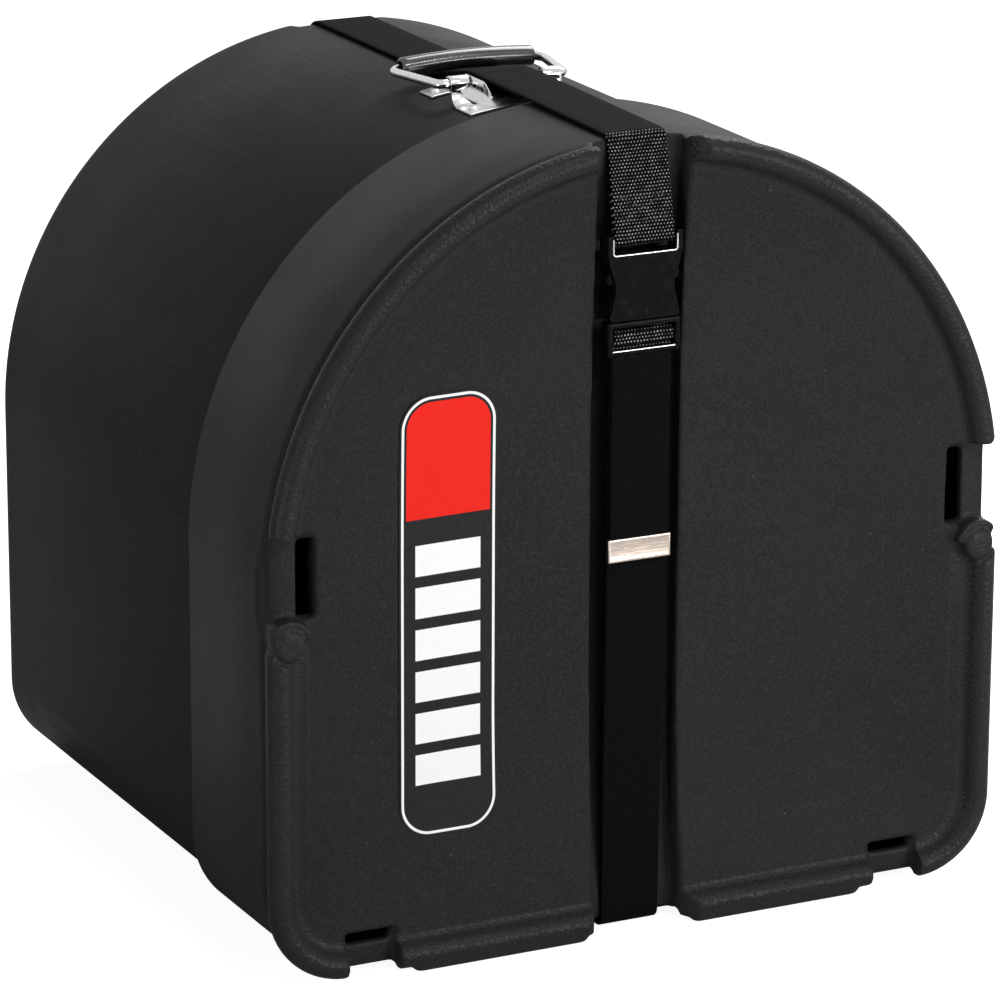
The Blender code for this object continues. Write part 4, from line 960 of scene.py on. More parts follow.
def notch_cutter():
    """The gaps in the bead beside the four slots, scooped out at the sides."""
    shell = bpy.context.scene.case_shell
    top = SLOT_HEIGHT + SLOT_HALF + NOTCH_MARGIN
    bottom = knob_low() - 0.0150
    knob = knob_low() - KNOB_DROP
    bm = bmesh.new()
    for side in (-1, 1):
        rings = bead_end_rings(side, top)
        for step in range(41):
            height = top + (bottom - top) * step / 40
            share = scoop_share(height)
            kept = min(max((height - bottom) / (knob - bottom), 0), 1)
            narrow = 0.06 + 0.94 * math.sqrt(kept)
            reach = SLOT_INSET + SLOT_WIDTH if height > knob_low() else SLOT_INSET * 1.02 * narrow
            plan = [(reach, -OVERRUN), (reach, STRIP_SETBACK)]
            plan += [(inset * narrow if inset > 0 else inset, STRIP_SETBACK + depth * share)
                     for inset, depth in SCOOP]
            plan.append((-OVERRUN, -OVERRUN))
            rings.append([(side * (shell.radius - inset), back(depth), height)
                          for inset, depth in plan])
        draw_along(bm, rings)
        low = side * LOW_SLOT_X - LOW_SLOT_HALF - NOTCH_MARGIN
        high = side * LOW_SLOT_X + LOW_SLOT_HALF + NOTCH_MARGIN
        view = [(depth, shell.foot_drop + inset)
                for inset, depth in notch_plan(LOW_SLOT_INSET + LOW_SLOT_WIDTH, 0.0035)]
        prism(bm, view, low, high, across)
    return object_from(bm, "cut notches")


def knob_low():
    """Height of the lower end of a side slot's notch."""
    return SLOT_HEIGHT - SLOT_HALF - NOTCH_MARGIN


def studs(name, radius, front, rear, edge, arched=False):
    """A round stud at each knob's place, from one depth to another, or its upper half."""
    shell = bpy.context.scene.case_shell
    bm = bmesh.new()
    for side in (-1, 1):
        made = bmesh.ops.create_cone(bm, cap_ends=True, segments=48, radius1=radius,
                                     radius2=radius, depth=rear - front)["verts"]
        bmesh.ops.rotate(bm, verts=made, matrix=Matrix.Rotation(math.radians(90), 3, "X"))
        place = (side * (shell.radius - KNOB_INSET), back((front + rear) / 2),
                 knob_low() - KNOB_DROP)
        bmesh.ops.translate(bm, verts=made, vec=place)
    if arched:
        side = shell.radius - PART_GAP
        planes = [((0, 0, knob_low() - KNOB_DROP + 0.002), (0, 0, -1)), ((side, 0, 0), (1, 0, 0)),
                  ((-side, 0, 0), (-1, 0, 0))]
        for place, out in planes:
            bmesh.ops.bisect_plane(bm, geom=bm.verts[:] + bm.edges[:] + bm.faces[:],
                                   plane_co=place, plane_no=out, clear_outer=True)
            bmesh.ops.holes_fill(bm, edges=[edge for edge in bm.edges if edge.is_boundary])
    if edge:
        soften(bm, edge, 5)
    return object_from(bm, name)


def slot_cutter():
    shell = bpy.context.scene.case_shell
    bm = bmesh.new()
    front, rear = back(0), back(STRIP_SETBACK + 2 * shell.wall + shell.slide_gap)
    for side in (-1, 1):
        outer = shell.radius - SLOT_INSET
        edges = sorted((side * outer, side * (outer - SLOT_WIDTH)))
        box(bm, (edges[0], front, SLOT_HEIGHT - SLOT_HALF),
            (edges[1], rear, SLOT_HEIGHT + SLOT_HALF))
        low = shell.foot_drop + LOW_SLOT_INSET
        box(bm, (side * LOW_SLOT_X - LOW_SLOT_HALF, front, low),
            (side * LOW_SLOT_X + LOW_SLOT_HALF, rear, low + LOW_SLOT_WIDTH))
    return object_from(bm, "cut slots")


def feet(start, depth, top):
    """Two moulded feet, one each side of the strap, from the floor to a height."""
    shell = bpy.context.scene.case_shell
    inner = shell.channel_width / 2 + 0.002
    bm = bmesh.new()
    for side in (-1, 1):
        ends = sorted((side * inner, side * (inner + 0.1215)))
        made = box(bm, (ends[0], back(start), 0), (ends[1], back(start + depth), top))
        middle = (ends[0] + ends[1]) / 2
        for vertex in made:
            if vertex.co.z < top / 2:
                vertex.co.x += math.copysign(0.0045, middle - vertex.co.x)
    soften(bm, 0.0045, 4)
    return object_from(bm, "add feet")


def extend_wall(piece, cut, rim, outer, inner, rise, forward):
    """Cuts the moulded end off at a depth and draws its two skins on to the rim."""
    bm = bmesh.new()
    bm.from_mesh(piece.data)
    way = -1 if forward else 1
    bmesh.ops.bisect_plane(bm, geom=bm.verts[:] + bm.edges[:] + bm.faces[:],
                           plane_co=(0, back(cut), 0), plane_no=(0, way, 0), clear_outer=True)
    edges = [edge for edge in bm.edges if edge.is_boundary]
    middle = (outer + inner) / 2
    skins = ([], [])
    for edge in edges:
        for vertex in edge.verts:
            vertex.co.y = back(cut)
        skins[inset_of(edge.verts[0].co, rise) > middle].append(edge)
    rims = []
    for skin, inset in zip(skins, (outer, inner)):
        for vertex in {vertex for edge in skin for vertex in edge.verts}:
            vertex.co = on_outline(vertex.co, inset, rise)
        stops = [(inset, rim - way * RIM_LEAD), (inset + RIM_LEAD, rim)]
        for to_inset, depth in (stops if inset == outer else [(inset, rim)]):
            skin = extrude_rim(bm, skin)
            for vertex in {vertex for edge in skin for vertex in edge.verts}:
                vertex.co.y = back(depth)
                vertex.co = on_outline(vertex.co, to_inset, rise)
        rims += skin
    bmesh.ops.triangle_fill(bm, edges=rims, use_beauty=True, normal=(0, way, 0))
    bmesh.ops.recalc_face_normals(bm, faces=bm.faces)
    bm.to_mesh(piece.data)
    bm.free()
    piece.data.shade_smooth()
    piece.data.set_sharp_from_angle(angle=math.radians(50))


def mark_pebbles_and_highlight(piece):
    """Marks where the bead and knobs carry the coarse pebbled grain and the painted highlight."""
    shell = bpy.context.scene.case_shell
    mark = piece.data.attributes.new("pebble", "FLOAT", "POINT")
    values = []
    for vertex in piece.data.vertices:
        depth = vertex.co.y - back(0)
        inset = inset_of(vertex.co, shell.rise)
        ahead = smooth_step((shell.bead_length * 0.72 - depth) / 0.004)
        rim = smooth_step((shell.bead_width + 0.004 - inset) / 0.004)
        aside = abs(vertex.co.x) - shell.radius + KNOB_INSET
        reach = math.hypot(aside, vertex.co.z - knob_low() + KNOB_DROP)
        knob = smooth_step((COLLAR_RADIUS + 0.002 - reach) / 0.002)
        values.append(ahead * max(rim, knob))
    mark.data.foreach_set("value", values)


def make_lid():
    shell = bpy.context.scene.case_shell
    sections = list(reversed(face_sections(0))) + bead_sections()[1:]
    shelf = STRIP_SETBACK + shell.wall + shell.slide_gap
    sections += [(0, LID_CUT + CUT_MARGIN), (shell.wall, LID_CUT + CUT_MARGIN),
                 (shell.wall, shelf + body_inset()), (shell.wall + body_inset(), shelf)]
    end = SLOT_INSET + SLOT_WIDTH + 0.0038
    sections.append((end, shelf))
    inside = face_sections(shell.wall)
    sections += [section for section in inside if section[0] > end + shell.wall]
    bm = bmesh.new()
    loft(bm, sections, shell.rise)
    lid = object_from(bm, "lid_moulding", finish_named("moulded plastic", plastic_finish))
    top = shell.foot_drop + shell.bead_width - 0.005
    deep = STRIP_SETBACK + 0.003
    combine(lid, [("UNION", lid_boss()), ("UNION", feet(0.0008, 0.024, top)),
                  ("DIFFERENCE", channel_cutter()), ("DIFFERENCE", flare_cutter()),
                  ("DIFFERENCE", crest_cutter()), ("DIFFERENCE", notch_cutter()),
                  ("UNION", studs("add collars", COLLAR_RADIUS, 0.0026, deep, 0.0012, True)),
                  ("DIFFERENCE", studs("cut bores", COLLAR_BORE, -OVERRUN, 0.0062, 0)),
                  ("UNION", studs("add knobs", KNOB_RADIUS, KNOB_FRONT, deep, 0.0034)),
                  ("DIFFERENCE", slot_cutter())])
    mould(lid, VOXEL, SMOOTHING, 0.24)
    extend_wall(lid, LID_CUT, shell.lid_depth, 0.0, shell.wall, shell.rise, False)
    mark_pebbles_and_highlight(lid)
    return dress(lid, "lid", "moulded_plastic", "lid_shell")


# The bucket ------------------------------------------------------------------------

def back_channel_cutter():
    shell = bpy.context.scene.case_shell
    edge = BACK_EDGE
    floor = shell.depth - shell.back_channel
    turn = floor - edge
    far = shell.depth + OVERRUN
    outline = [(far, body_bottom() - OVERRUN), (turn, body_bottom() - OVERRUN)]
    outline += arc((turn, body_bottom() + edge), edge, 270, 360, BEND_STEPS)
    outline += arc((turn, body_top() - edge), edge, 0, 90, BEND_STEPS)
    outline += [(turn, body_top() + OVERRUN), (far, body_top() + OVERRUN)]
    half = shell.channel_width / 2
    return solid("cut back channel", prism, outline, -half, half, across)


def back_boss():
    shell = bpy.context.scene.case_shell
    lap = shell.wall * 0.8
    edge = BACK_EDGE
    far = shell.depth - lap
    chamfer = shell.back_round - lap
    top, low = body_top() - lap, body_bottom() + lap
    turn = shell.depth - shell.back_channel - edge
    inner = edge - shell.wall
    outline = arc((turn, body_top() - edge), inner, 90, 0, BEND_STEPS)
    outline += arc((turn, body_bottom() + edge), inner, 0, -90, BEND_STEPS)
    outline += [(turn, low), (far - chamfer, low), (far, low + chamfer)]
    outline += [(far, top - chamfer), (far - chamfer, top), (turn, top)]
    half = shell.channel_width / 2 + shell.wall
    return solid("add back boss", prism, outline, -half, half, across)


def make_bucket():
    shell = bpy.context.scene.case_shell
    outer = body_inset()
    inner = outer + shell.wall
    soft = shell.back_round
    sections = arc((outer + soft, shell.depth - soft), soft, 90, 180, 10)
    sections += [(outer, BUCKET_CUT - CUT_MARGIN), (inner, BUCKET_CUT - CUT_MARGIN)]
    soft -= shell.wall
    sections += arc((inner + soft, shell.depth - shell.back_round), soft, 180, 90, 10)
    bm = bmesh.new()
    loft(bm, sections)
    bucket = object_from(bm, "bucket_moulding", finish_named("moulded plastic", plastic_finish))
    rear = feet(shell.depth - 0.046, 0.030, body_bottom() + shell.wall / 2 + 0.005)
    combine(bucket, [("UNION", back_boss()), ("UNION", rear),
                     ("DIFFERENCE", back_channel_cutter())])
    mould(bucket, VOXEL * 1.2, SMOOTHING, 0.32)
    extend_wall(bucket, BUCKET_CUT, shell.rim_setback, outer, inner, 0.0, True)
    return dress(bucket, "case", "moulded_plastic", "body_shell")


# Foam ------------------------------------------------------------------------------

def make_foams():
    shell = bpy.context.scene.case_shell
    finish = finish_named("cut foam", foam_finish)
    half = shell.channel_width / 2 + shell.wall + PART_GAP
    inset = 0.0372
    soft = 0.0015
    rear = channel_start() + shell.face_dish + shell.wall + 0.006
    front = [section for section in face_sections(shell.wall + PART_GAP) if section[0] > inset]
    edge = max(shell.face_setback + shell.wall + PART_GAP + dish_at(inset),
               STRIP_SETBACK + shell.wall + shell.slide_gap + PART_GAP)
    bm = bmesh.new()
    loft(bm, list(reversed(front)) + [(inset, edge), (inset, rear - soft), (inset + soft, rear)],
         shell.rise)
    lid_foam = object_from(bm, "lid_foam_pad", finish)
    heights = [shell.foot_drop] + face_heights() + [lid_top()]
    outline = [(-OVERRUN, shell.foot_drop)]
    outline += [(face_depth(z) + shell.channel_depth + shell.wall + PART_GAP, z) for z in heights]
    outline.append((-OVERRUN, lid_top()))
    cutter = solid("cut lid foam", prism, outline, -half, half, across)
    combine(lid_foam, [("DIFFERENCE", cutter)])
    dress(lid_foam, "lid", "foam", "lid_foam")

    floor = shell.depth - shell.back_channel
    inset = body_inset() + shell.wall + 0.018
    front = floor - shell.wall - 0.006
    bm = bmesh.new()
    loft(bm, [(inset + soft, front), (inset, front + soft),
              (inset, shell.depth - shell.wall - PART_GAP)])
    base_foam = object_from(bm, "base_foam_pad", finish)
    cutter = solid("cut base foam", box,
                   (-half, back(floor - shell.wall - PART_GAP), shell.foot_drop),
                   (half, back(shell.depth + OVERRUN), lid_top()))
    combine(base_foam, [("DIFFERENCE", cutter)])
    dress(base_foam, "case", "foam", "base_foam")


# The sticker -----------------------------------------------------------------------

def make_sticker():
    shell = bpy.context.scene.case_shell
    low, high = (Vector(corner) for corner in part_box("face_label"))
    middle = (low + high) / 2
    half_width = (high.x - low.x) / 2
    half_length = (high.z - low.z) / 2
    corner = 0.020
    bm = bmesh.new()
    bmesh.ops.create_grid(bm, x_segments=16, y_segments=80, size=0.5)
    for vertex in bm.verts:
        rise = math.sin(vertex.co.y * math.pi) * half_length
        past = max(abs(rise) - half_length + corner, 0)
        half = half_width - corner + math.sqrt(max(corner ** 2 - past ** 2, 0))
        place = Vector((middle.x + vertex.co.x * 2 * half, 0, middle.z + rise))
        depth = shell.face_setback + dish_at(inset_of(place, shell.rise)) - PART_GAP
        vertex.co = (place.x, back(depth), place.z)
    thicken(bm, bm.faces[:], (0, -0.0004, 0))
    uv = bm.loops.layers.uv.new("sticker")
    for face in bm.faces:
        for loop in face.loops:
            loop[uv].uv = (loop.vert.co.x - middle.x, loop.vert.co.z - middle.z)
    finish = sticker_finish(half_width, half_length, corner)
    sticker = object_from(bm, "face_sticker", finish)
    dress(sticker, "lid", "label_vinyl", "face_label")


# Webbing ---------------------------------------------------------------------------

def webbing(name, path, worn=False):
    """Webbing that follows a side path (depth, height) at its middle, matt where it is worn; worn
    webbing has almost none of the painted highlight on its dash tops.
    """
    strap = bpy.context.scene.case_strap
    half = strap.width / 2
    thin = strap.thickness / 2
    profile = arc((half - thin, 0), thin, -90, 90, 6) + arc((thin - half, 0), thin, 90, 270, 6)
    dense = []
    for first, second in zip(profile, profile[1:] + profile[:1]):
        dense.append(first)
        if abs(first[0] - second[0]) > half:
            dense += [(first[0] + (second[0] - first[0]) * step / 6, first[1])
                      for step in range(1, 6)]
    path = close_spaced(path, 0.006)
    rings = []
    travel = [0.0]
    for index, point in enumerate(path):
        before = path[max(index - 1, 0)]
        after = path[min(index + 1, len(path) - 1)]
        if 0 < index < len(path) - 1:
            ahead = ((point - before).normalized() + (after - point).normalized()).normalized()
        else:
            ahead = (after - before).normalized()
        side = Vector((-ahead.y, ahead.x))
        rings.append([(x, back(point.x + side.x * lift), point.y + side.y * lift)
                      for x, lift in dense])
        if index:
            travel.append(travel[-1] + (point - before).length)
    bm = bmesh.new()
    draw_along(bm, rings)
    station = bm.verts.layers.int["station"]
    uv = bm.loops.layers.uv.new("weave")
    for face in bm.faces:
        for loop in face.loops:
            loop[uv].uv = (loop.vert.co.x, travel[loop.vert[station]])
    # Worn webbing is matt and has almost none of the painted highlight on its dash tops
    name_of_finish, gleam = ("worn webbing", 0.035) if worn else ("strap webbing", 1.0)
    finish = finish_named(name_of_finish, webbing_finish, name_of_finish, gleam)
    return object_from(bm, name, finish, 60)


def strap_lift():
    """From a surface to the middle of the webbing that lies on it."""
    return PART_GAP + bpy.context.scene.case_strap.thickness / 2


def front_turn(height, start, end):
    """The strap's middle line round an edge of the lid's channel."""
    radius = FRONT_EDGE + strap_lift()
    return arc((channel_start() + FRONT_EDGE, height), radius, start, end, BEND_STEPS)


def back_turn(height, start, end):
    """The strap's middle line round an edge of the bucket's back channel."""
    shell = bpy.context.scene.case_shell
    centre = (shell.depth - shell.back_channel - BACK_EDGE, height)
    return arc(centre, BACK_EDGE + strap_lift(), start, end, BEND_STEPS)


# The saddle's bridge, which the strap passes over
HAT_RISE = 0.011
HAT_FRONT_REACH = 0.005
HAT_BACK_REACH = 0.017


def hat_top():
    return body_top() + HAT_RISE


def make_case_straps():
    """The runs of the loop over, behind and under the case."""
    shell = bpy.context.scene.case_shell
    strap = bpy.context.scene.case_strap
    handle = bpy.context.scene.case_handle
    crest = hat_top() + strap_lift()
    hat_front = handle.pivot_depth - HAT_FRONT_REACH
    hat_back = handle.pivot_depth + HAT_BACK_REACH
    middle = (hat_front + hat_back) / 2
    joint = PART_GAP / 2
    edge = front_turn(lid_top() - FRONT_EDGE, 90, 180)
    front = webbing("strap_over_front", [(middle - joint, crest), (hat_front, crest),
                                         (edge[0][0] + joint, edge[0][1])], True)
    stretch(front, "case", "lid", (0, back(hat_front), crest),
            (0, back(edge[0][0] + 0.004), crest), "strap_top_front")

    grip_depth = handle.pivot_depth + handle.reach
    grip_height = body_top() + handle.pivot_rise + 0.0005
    under_grip = grip_height - handle.grip - strap_lift()
    flat = body_top() + strap_lift()
    slope = (crest - under_grip) / (grip_depth - hat_back)
    landing = (hat_back + (crest - flat) / slope, flat)
    turn = back_turn(body_top() - BACK_EDGE, 90, 0)
    path = [(middle + joint, crest), (hat_back, crest), landing] + turn
    rear = webbing("strap_over_rear", path, True)
    dress(rear, "case", "webbing", "strap_top_rear")

    low = back_turn(body_bottom() + BACK_EDGE, 0, -90)
    behind = webbing("strap_behind", [(turn[-1][0], turn[-1][1] - PART_GAP)] + low, True)
    dress(behind, "case", "webbing", "strap_back")

    bottom = front_turn(shell.foot_drop + FRONT_EDGE - strap.sag, 180, 270)
    path = [(low[-1][0] - PART_GAP, low[-1][1]), (shell.lid_depth, bottom[-1][1]),
            (bottom[-1][0] + joint, bottom[-1][1])]
    under = webbing("strap_under", path, True)
    stretch(under, "case", "lid", (0, back(0.40), path[0][1]),
            (0, back(bottom[-1][0] + 0.006), path[1][1]), "strap_bottom")


# From one part of the buckle to the next
BAR_DROP = 0.0044
BAR_SETBACK = 0.0029
BAR_THICKNESS = 0.0036
WEB_SLOT = 0.007
WEB_PLAY = 0.0012
MOUTH_GAP = 0.0005
PLUG_SETBACK = 0.0004
PLUG_THICKNESS = 0.0098
PLUG_RAIL = 0.0032
LADDER_DROP = 0.0045
LADDER_HEIGHT = 0.0042
LADDER_SETBACK = 0.0022
LOWER_HEIGHT = 0.0040
LOWER_SETBACK = 0.0006
LADDER_THICKNESS = 0.0024
SOCKET_WALL = 0.0022
TONGUE_PLAY = 0.0004


class BucklePlaces:
    """Heights and depths of the buckle's parts, worked out from its sizes."""

    def __init__(self):
        buckle = bpy.context.scene.case_buckle
        strap = bpy.context.scene.case_strap
        self.half = buckle.half_width
        self.front = buckle.front
        self.back = buckle.front + buckle.thickness
        self.top = lid_top() - buckle.top_drop
        self.bar_bottom = self.top - BAR_DROP
        self.bar_front = buckle.front + BAR_SETBACK
        self.bar_back = self.bar_front + BAR_THICKNESS
        self.socket_top = self.bar_bottom - WEB_SLOT
        self.mouth = self.socket_top - buckle.socket
        self.opening = strap.width / 2 + WEB_PLAY
        self.plug_top = self.mouth - MOUTH_GAP
        self.plug_bottom = self.plug_top - buckle.plug
        self.plug_front = buckle.front + PLUG_SETBACK
        self.plug_back = self.plug_front + PLUG_THICKNESS
        self.ladder_top = self.plug_top - PLUG_RAIL - LADDER_DROP
        self.ladder_low = self.ladder_top - LADDER_HEIGHT
        self.ladder_front = self.plug_front + LADDER_SETBACK
        self.ladder_back = self.ladder_front + LADDER_THICKNESS
        self.lower_top = self.plug_bottom + LOWER_HEIGHT
        self.lower_front = self.plug_front + LOWER_SETBACK
        self.lower_back = self.lower_front + LADDER_THICKNESS
        self.tail = self.lower_back + strap_lift()
        self.load = self.tail + strap.thickness + PART_GAP
        self.centre = (self.front + self.back) / 2
        self.inside = buckle.thickness / 2 - SOCKET_WALL - TONGUE_PLAY


STITCH_PITCH = 0.0029
STITCH_SIZE = (0.0022, 0.0008, 0.00075)


def make_stitches(heights, depth, slope, from_height):
    """A sewn box with a cross in it, on the front of the doubled strap."""
    strap = bpy.context.scene.case_strap
    high, low = heights
    side = strap.width / 2 - 0.0045
    corners = [(-side, high), (side, high), (side, low), (-side, low), (-side, high), (side, low),
               (side, high), (-side, low)]
    bm = bmesh.new()
    for start, end in zip(corners, corners[1:]):
        start, end = Vector(start), Vector(end)
        count = round((end - start).length / STITCH_PITCH)
        along = (end - start).normalized()
        for step in range(count):
            middle = start.lerp(end, (step + 0.5) / count)
            made = bmesh.ops.create_uvsphere(bm, u_segments=8, v_segments=6, radius=0.5)["verts"]
            bmesh.ops.scale(bm, verts=made, vec=STITCH_SIZE)
            turn = Matrix.Rotation(-math.atan2(along.y, along.x), 3, "Y")
            bmesh.ops.rotate(bm, verts=made, matrix=turn)
            front = depth + slope * (middle.y - from_height) - strap.thickness / 2
            bmesh.ops.translate(bm, verts=made, vec=(middle.x, back(front), middle.y))
    finish = finish_named("sewing thread", thread_finish)
    stitches = object_from(bm, "strap_sewn_stitches", finish, 0)
    dress(stitches, "lid", "webbing", "strap_front_upper")


def make_lid_straps():
    """The runs that hang on the lid's face: above the buckle and below it."""
    shell = bpy.context.scene.case_shell
    strap = bpy.context.scene.case_strap
    place = BucklePlaces()
    joint = PART_GAP / 2
    edge = front_turn(lid_top() - FRONT_EDGE, 90, 180)
    before, behind = place.bar_front - strap_lift(), place.bar_back + strap_lift()
    under = place.bar_bottom - strap_lift()
    lay = strap.thickness + PART_GAP
    slope = (edge[-1][0] - before) / (edge[-1][1] - place.top)
    sewn_low = place.top + 2 * lay
    sewn_high = sewn_low + strap.width / 2
    turned = rounded_path([edge[-1], (before, place.top), (before, under), (behind, under),
                           (behind, place.top),
                           (before + slope * (sewn_low - place.top) + lay, sewn_low),
                           (before + slope * (sewn_high - place.top) + lay, sewn_high)], 0.0014)
    path = [(edge[0][0] - joint, edge[0][1])] + edge[1:-1] + [tuple(point) for point in turned]
    dress(webbing("strap_above_buckle", path), "lid", "webbing", "strap_front_upper")
    heights = (sewn_high - 0.002, sewn_low + 0.0035)
    make_stitches(heights, before, slope, place.top)

    bottom = front_turn(shell.foot_drop + FRONT_EDGE - strap.sag, 180, 270)
    path = [(place.load, place.plug_bottom - PART_GAP)] + bottom[:-1]
    path += [(bottom[-1][0] - joint, bottom[-1][1])]
    lower = webbing("strap_below_buckle", path)
    stretch(lower, "lid", "plug", (0, back(bottom[0][0]), bottom[0][1] + 0.02),
            (0, back(place.load), place.plug_bottom - 0.002), "strap_front_lower")


def make_tail():
    """The adjusting fold and the loose tail, with its metal tip."""
    strap = bpy.context.scene.case_strap
    place = BucklePlaces()
    lift = strap_lift()
    sheet = 0.0006
    before = place.ladder_front - lift
    over, under = place.ladder_top + lift, place.ladder_low - lift
    end = place.plug_bottom - strap.tail
    tip_top = end + 0.014 - 2 * sheet
    tip_depth = place.tail + 0.0006
    corners = [(place.load, place.plug_bottom), (place.load, over), (before, over),
               (before, under), (place.tail, under), (place.tail, place.plug_bottom)]
    path = [tuple(point) for point in rounded_path(corners, 0.0014)]
    path += [(tip_depth, tip_top), (tip_depth, end)]
    dress(webbing("strap_loose_tail", path), "plug", "webbing", "strap_tail")

    half_x = strap.width / 2 + PART_GAP + 0.0009
    half_y = lift + sheet
    bm = bmesh.new()
    box(bm, (-half_x, back(tip_depth - half_y), end - 2 * sheet),
        (half_x, back(tip_depth + half_y), tip_top))
    soften(bm, sheet, 3)
    front = min(bm.faces, key=lambda face: face.calc_center_median().y)
    bmesh.ops.inset_region(bm, faces=[front], thickness=0.0009, depth=-0.00022,
                           use_even_offset=True)
    tip = object_from(bm, "strap_end_tip", finish_named("tip metal", tip_finish), 50)
    half_x = strap.width / 2 + PART_GAP
    cutter = solid("cut tip", box, (-half_x, back(tip_depth - lift), end - PART_GAP),
                   (half_x, back(tip_depth + lift), tip_top + OVERRUN))
    combine(tip, [("DIFFERENCE", cutter)])
    dress(tip, "plug", "chrome", "strap_tip")


# The buckle ------------------------------------------------------------------------

def make_socket():
    place = BucklePlaces()
    buckle = bpy.context.scene.case_buckle
    side = [(place.half * share, place.socket_top - buckle.socket * drop)
            for share, drop in SOCKET_SHARES]
    side = [tuple(point) for point in curve_through(side, 6)]
    right = [(place.half, place.top)] + side
    outline = right + [(-x, z) for x, z in reversed(right)]
    bm = bmesh.new()
    prism(bm, outline, place.front, place.back, through)
    soften(bm, 0.0013, 4, 50)
    finish = finish_named("buckle plastic", acetal_finish)
    socket = object_from(bm, "buckle_socket_body", finish)
    wide = place.half + OVERRUN
    mouth = solid("cut mouth", box,
                  (-wide, back(place.front + SOCKET_WALL), place.mouth - OVERRUN),
                  (wide, back(place.back - SOCKET_WALL), place.socket_top - 0.0075))
    bm = bmesh.new()
    front, rear = back(place.front - OVERRUN), back(place.back + OVERRUN)
    box(bm, (-place.opening, front, place.socket_top), (place.opening, rear, place.bar_bottom))
    corners = [edge for edge in bm.edges
               if abs(edge.verts[0].co.y - edge.verts[1].co.y) > OVERRUN]
    bmesh.ops.bevel(bm, geom=corners, offset=0.0016, offset_type="OFFSET", affect="EDGES",
                    segments=4, profile=0.5, material=-1)
    slot = object_from(bm, "cut web slot")
    bm = bmesh.new()
    high = place.top + OVERRUN
    box(bm, (-place.opening, front, place.bar_bottom - PART_GAP),
        (place.opening, back(place.bar_front), high))
    box(bm, (-place.opening, back(place.bar_back), place.bar_bottom - PART_GAP),
        (place.opening, rear, high))
    bar = object_from(bm, "cut web bar")
    combine(socket, [("DIFFERENCE", mouth), ("DIFFERENCE", slot), ("DIFFERENCE", bar)])
    finish_edges(socket, 0.0005)
    dress(socket, "lid", "acetal", "buckle_socket")
    wide, low = place.opening + 0.0003, place.socket_top - 0.0002
    high = place.socket_top + 0.0095
    # A pale metal lip round the web slot: a painted highlight
    make_highlight_lip("buckle_socket_lip", "lid", "buckle_socket", place.front,
             [(-wide, high), (-wide, low), (wide, low), (wide, high)])


def make_highlight_lip(name, body, node, depth, corners):
    """A thin pale metal lip on the buckle's front: a painted highlight along its edge."""
    path = [Vector((x, back(depth + 0.0001), height)) for x, height in corners]
    if len(corners) > 2:
        flat = rounded_path(corners, 0.0016)
        path = [Vector((point.x, back(depth + 0.0001), point.y)) for point in flat]
    bm = bmesh.new()
    tube(bm, path, 0.00050, 12)
    highlight_lip = object_from(bm, name, finish_named("polished lip", highlight_lip_finish), 60)
    dress(highlight_lip, body, "acetal", node)


def finish_edges(piece, width, angle=48):
    """A fine rounding on the edges that Booleans leave."""
    step = piece.modifiers.new("fine edges", "BEVEL")
    step.width = width
    step.segments = 2
    step.limit_method = "ANGLE"
    step.angle_limit = math.radians(angle)
    bake(piece)
    piece.data.shade_smooth()
    piece.data.set_sharp_from_angle(angle=math.radians(40))
    even = piece.modifiers.new("flat faces", "WEIGHTED_NORMAL")
    even.keep_sharp = True
    bake(piece)


def make_plug():
    place = BucklePlaces()
    finish = finish_named("buckle plastic", acetal_finish)
    half = 0.0235
    bm = bmesh.new()
    box(bm, (-half, back(place.plug_front), place.plug_bottom),
        (half, back(place.plug_back), place.plug_top))
    soften(bm, 0.0014, 4)
    plug = object_from(bm, "buckle_plug_body", finish)
    front, rear = back(place.plug_front - OVERRUN), back(place.plug_back + OVERRUN)
    ladder = solid("cut ladder", box, (-place.opening, front, place.plug_bottom - OVERRUN),
                   (place.opening, rear, place.plug_top - PLUG_RAIL))
    bm = bmesh.new()
    seat = (half + place.opening) / 2
    box(bm, (-seat, back(place.ladder_front), place.ladder_low),
        (seat, back(place.ladder_back), place.ladder_top))
    box(bm, (-seat, back(place.lower_front), place.plug_bottom + 0.0007),
        (seat, back(place.lower_back), place.lower_top))
    soften(bm, 0.0007, 3)
    bars = object_from(bm, "add bars")
    bm = bmesh.new()
    box(bm, (-0.005, back(place.centre - place.inside), place.plug_top - 0.0016),
        (0.005, back(place.centre + place.inside), place.plug_top + 0.027))
    soften(bm, 0.0007, 3)
    tongue = object_from(bm, "add tongue")
    combine(plug, [("DIFFERENCE", ladder), ("UNION", bars), ("UNION", tongue)])
    finish_edges(plug, 0.0003)
    dress(plug, "plug", "acetal", "buckle_plug")
    edge = seat - 0.0006
    # A pale metal lip along the lower bar: a painted highlight
    make_highlight_lip("buckle_plug_lip", "plug", "buckle_plug", place.lower_front,
             [(-edge, place.lower_top - 0.0008), (edge, place.lower_top - 0.0008)])


def make_prong(name, node, body, side):
    place = BucklePlaces()
    root = 0.0023
    height = place.plug_top + root + PART_GAP
    width = place.half / 2
    points = arc((0, 0), root, 200, 350, 8)
    points += [(out * width, up * 0.0285) for out, up in PRONG_SHARES]
    outline = [(side * (0.0188 + x), height + z) for x, z in points]
    bm = bmesh.new()
    prism(bm, outline, place.centre - place.inside, place.centre + place.inside, through)
    soften(bm, 0.0005, 3, 50)
    prong = object_from(bm, name, finish_named("buckle plastic", acetal_finish))
    dress(prong, body, "acetal", node)


# The handle ------------------------------------------------------------------------

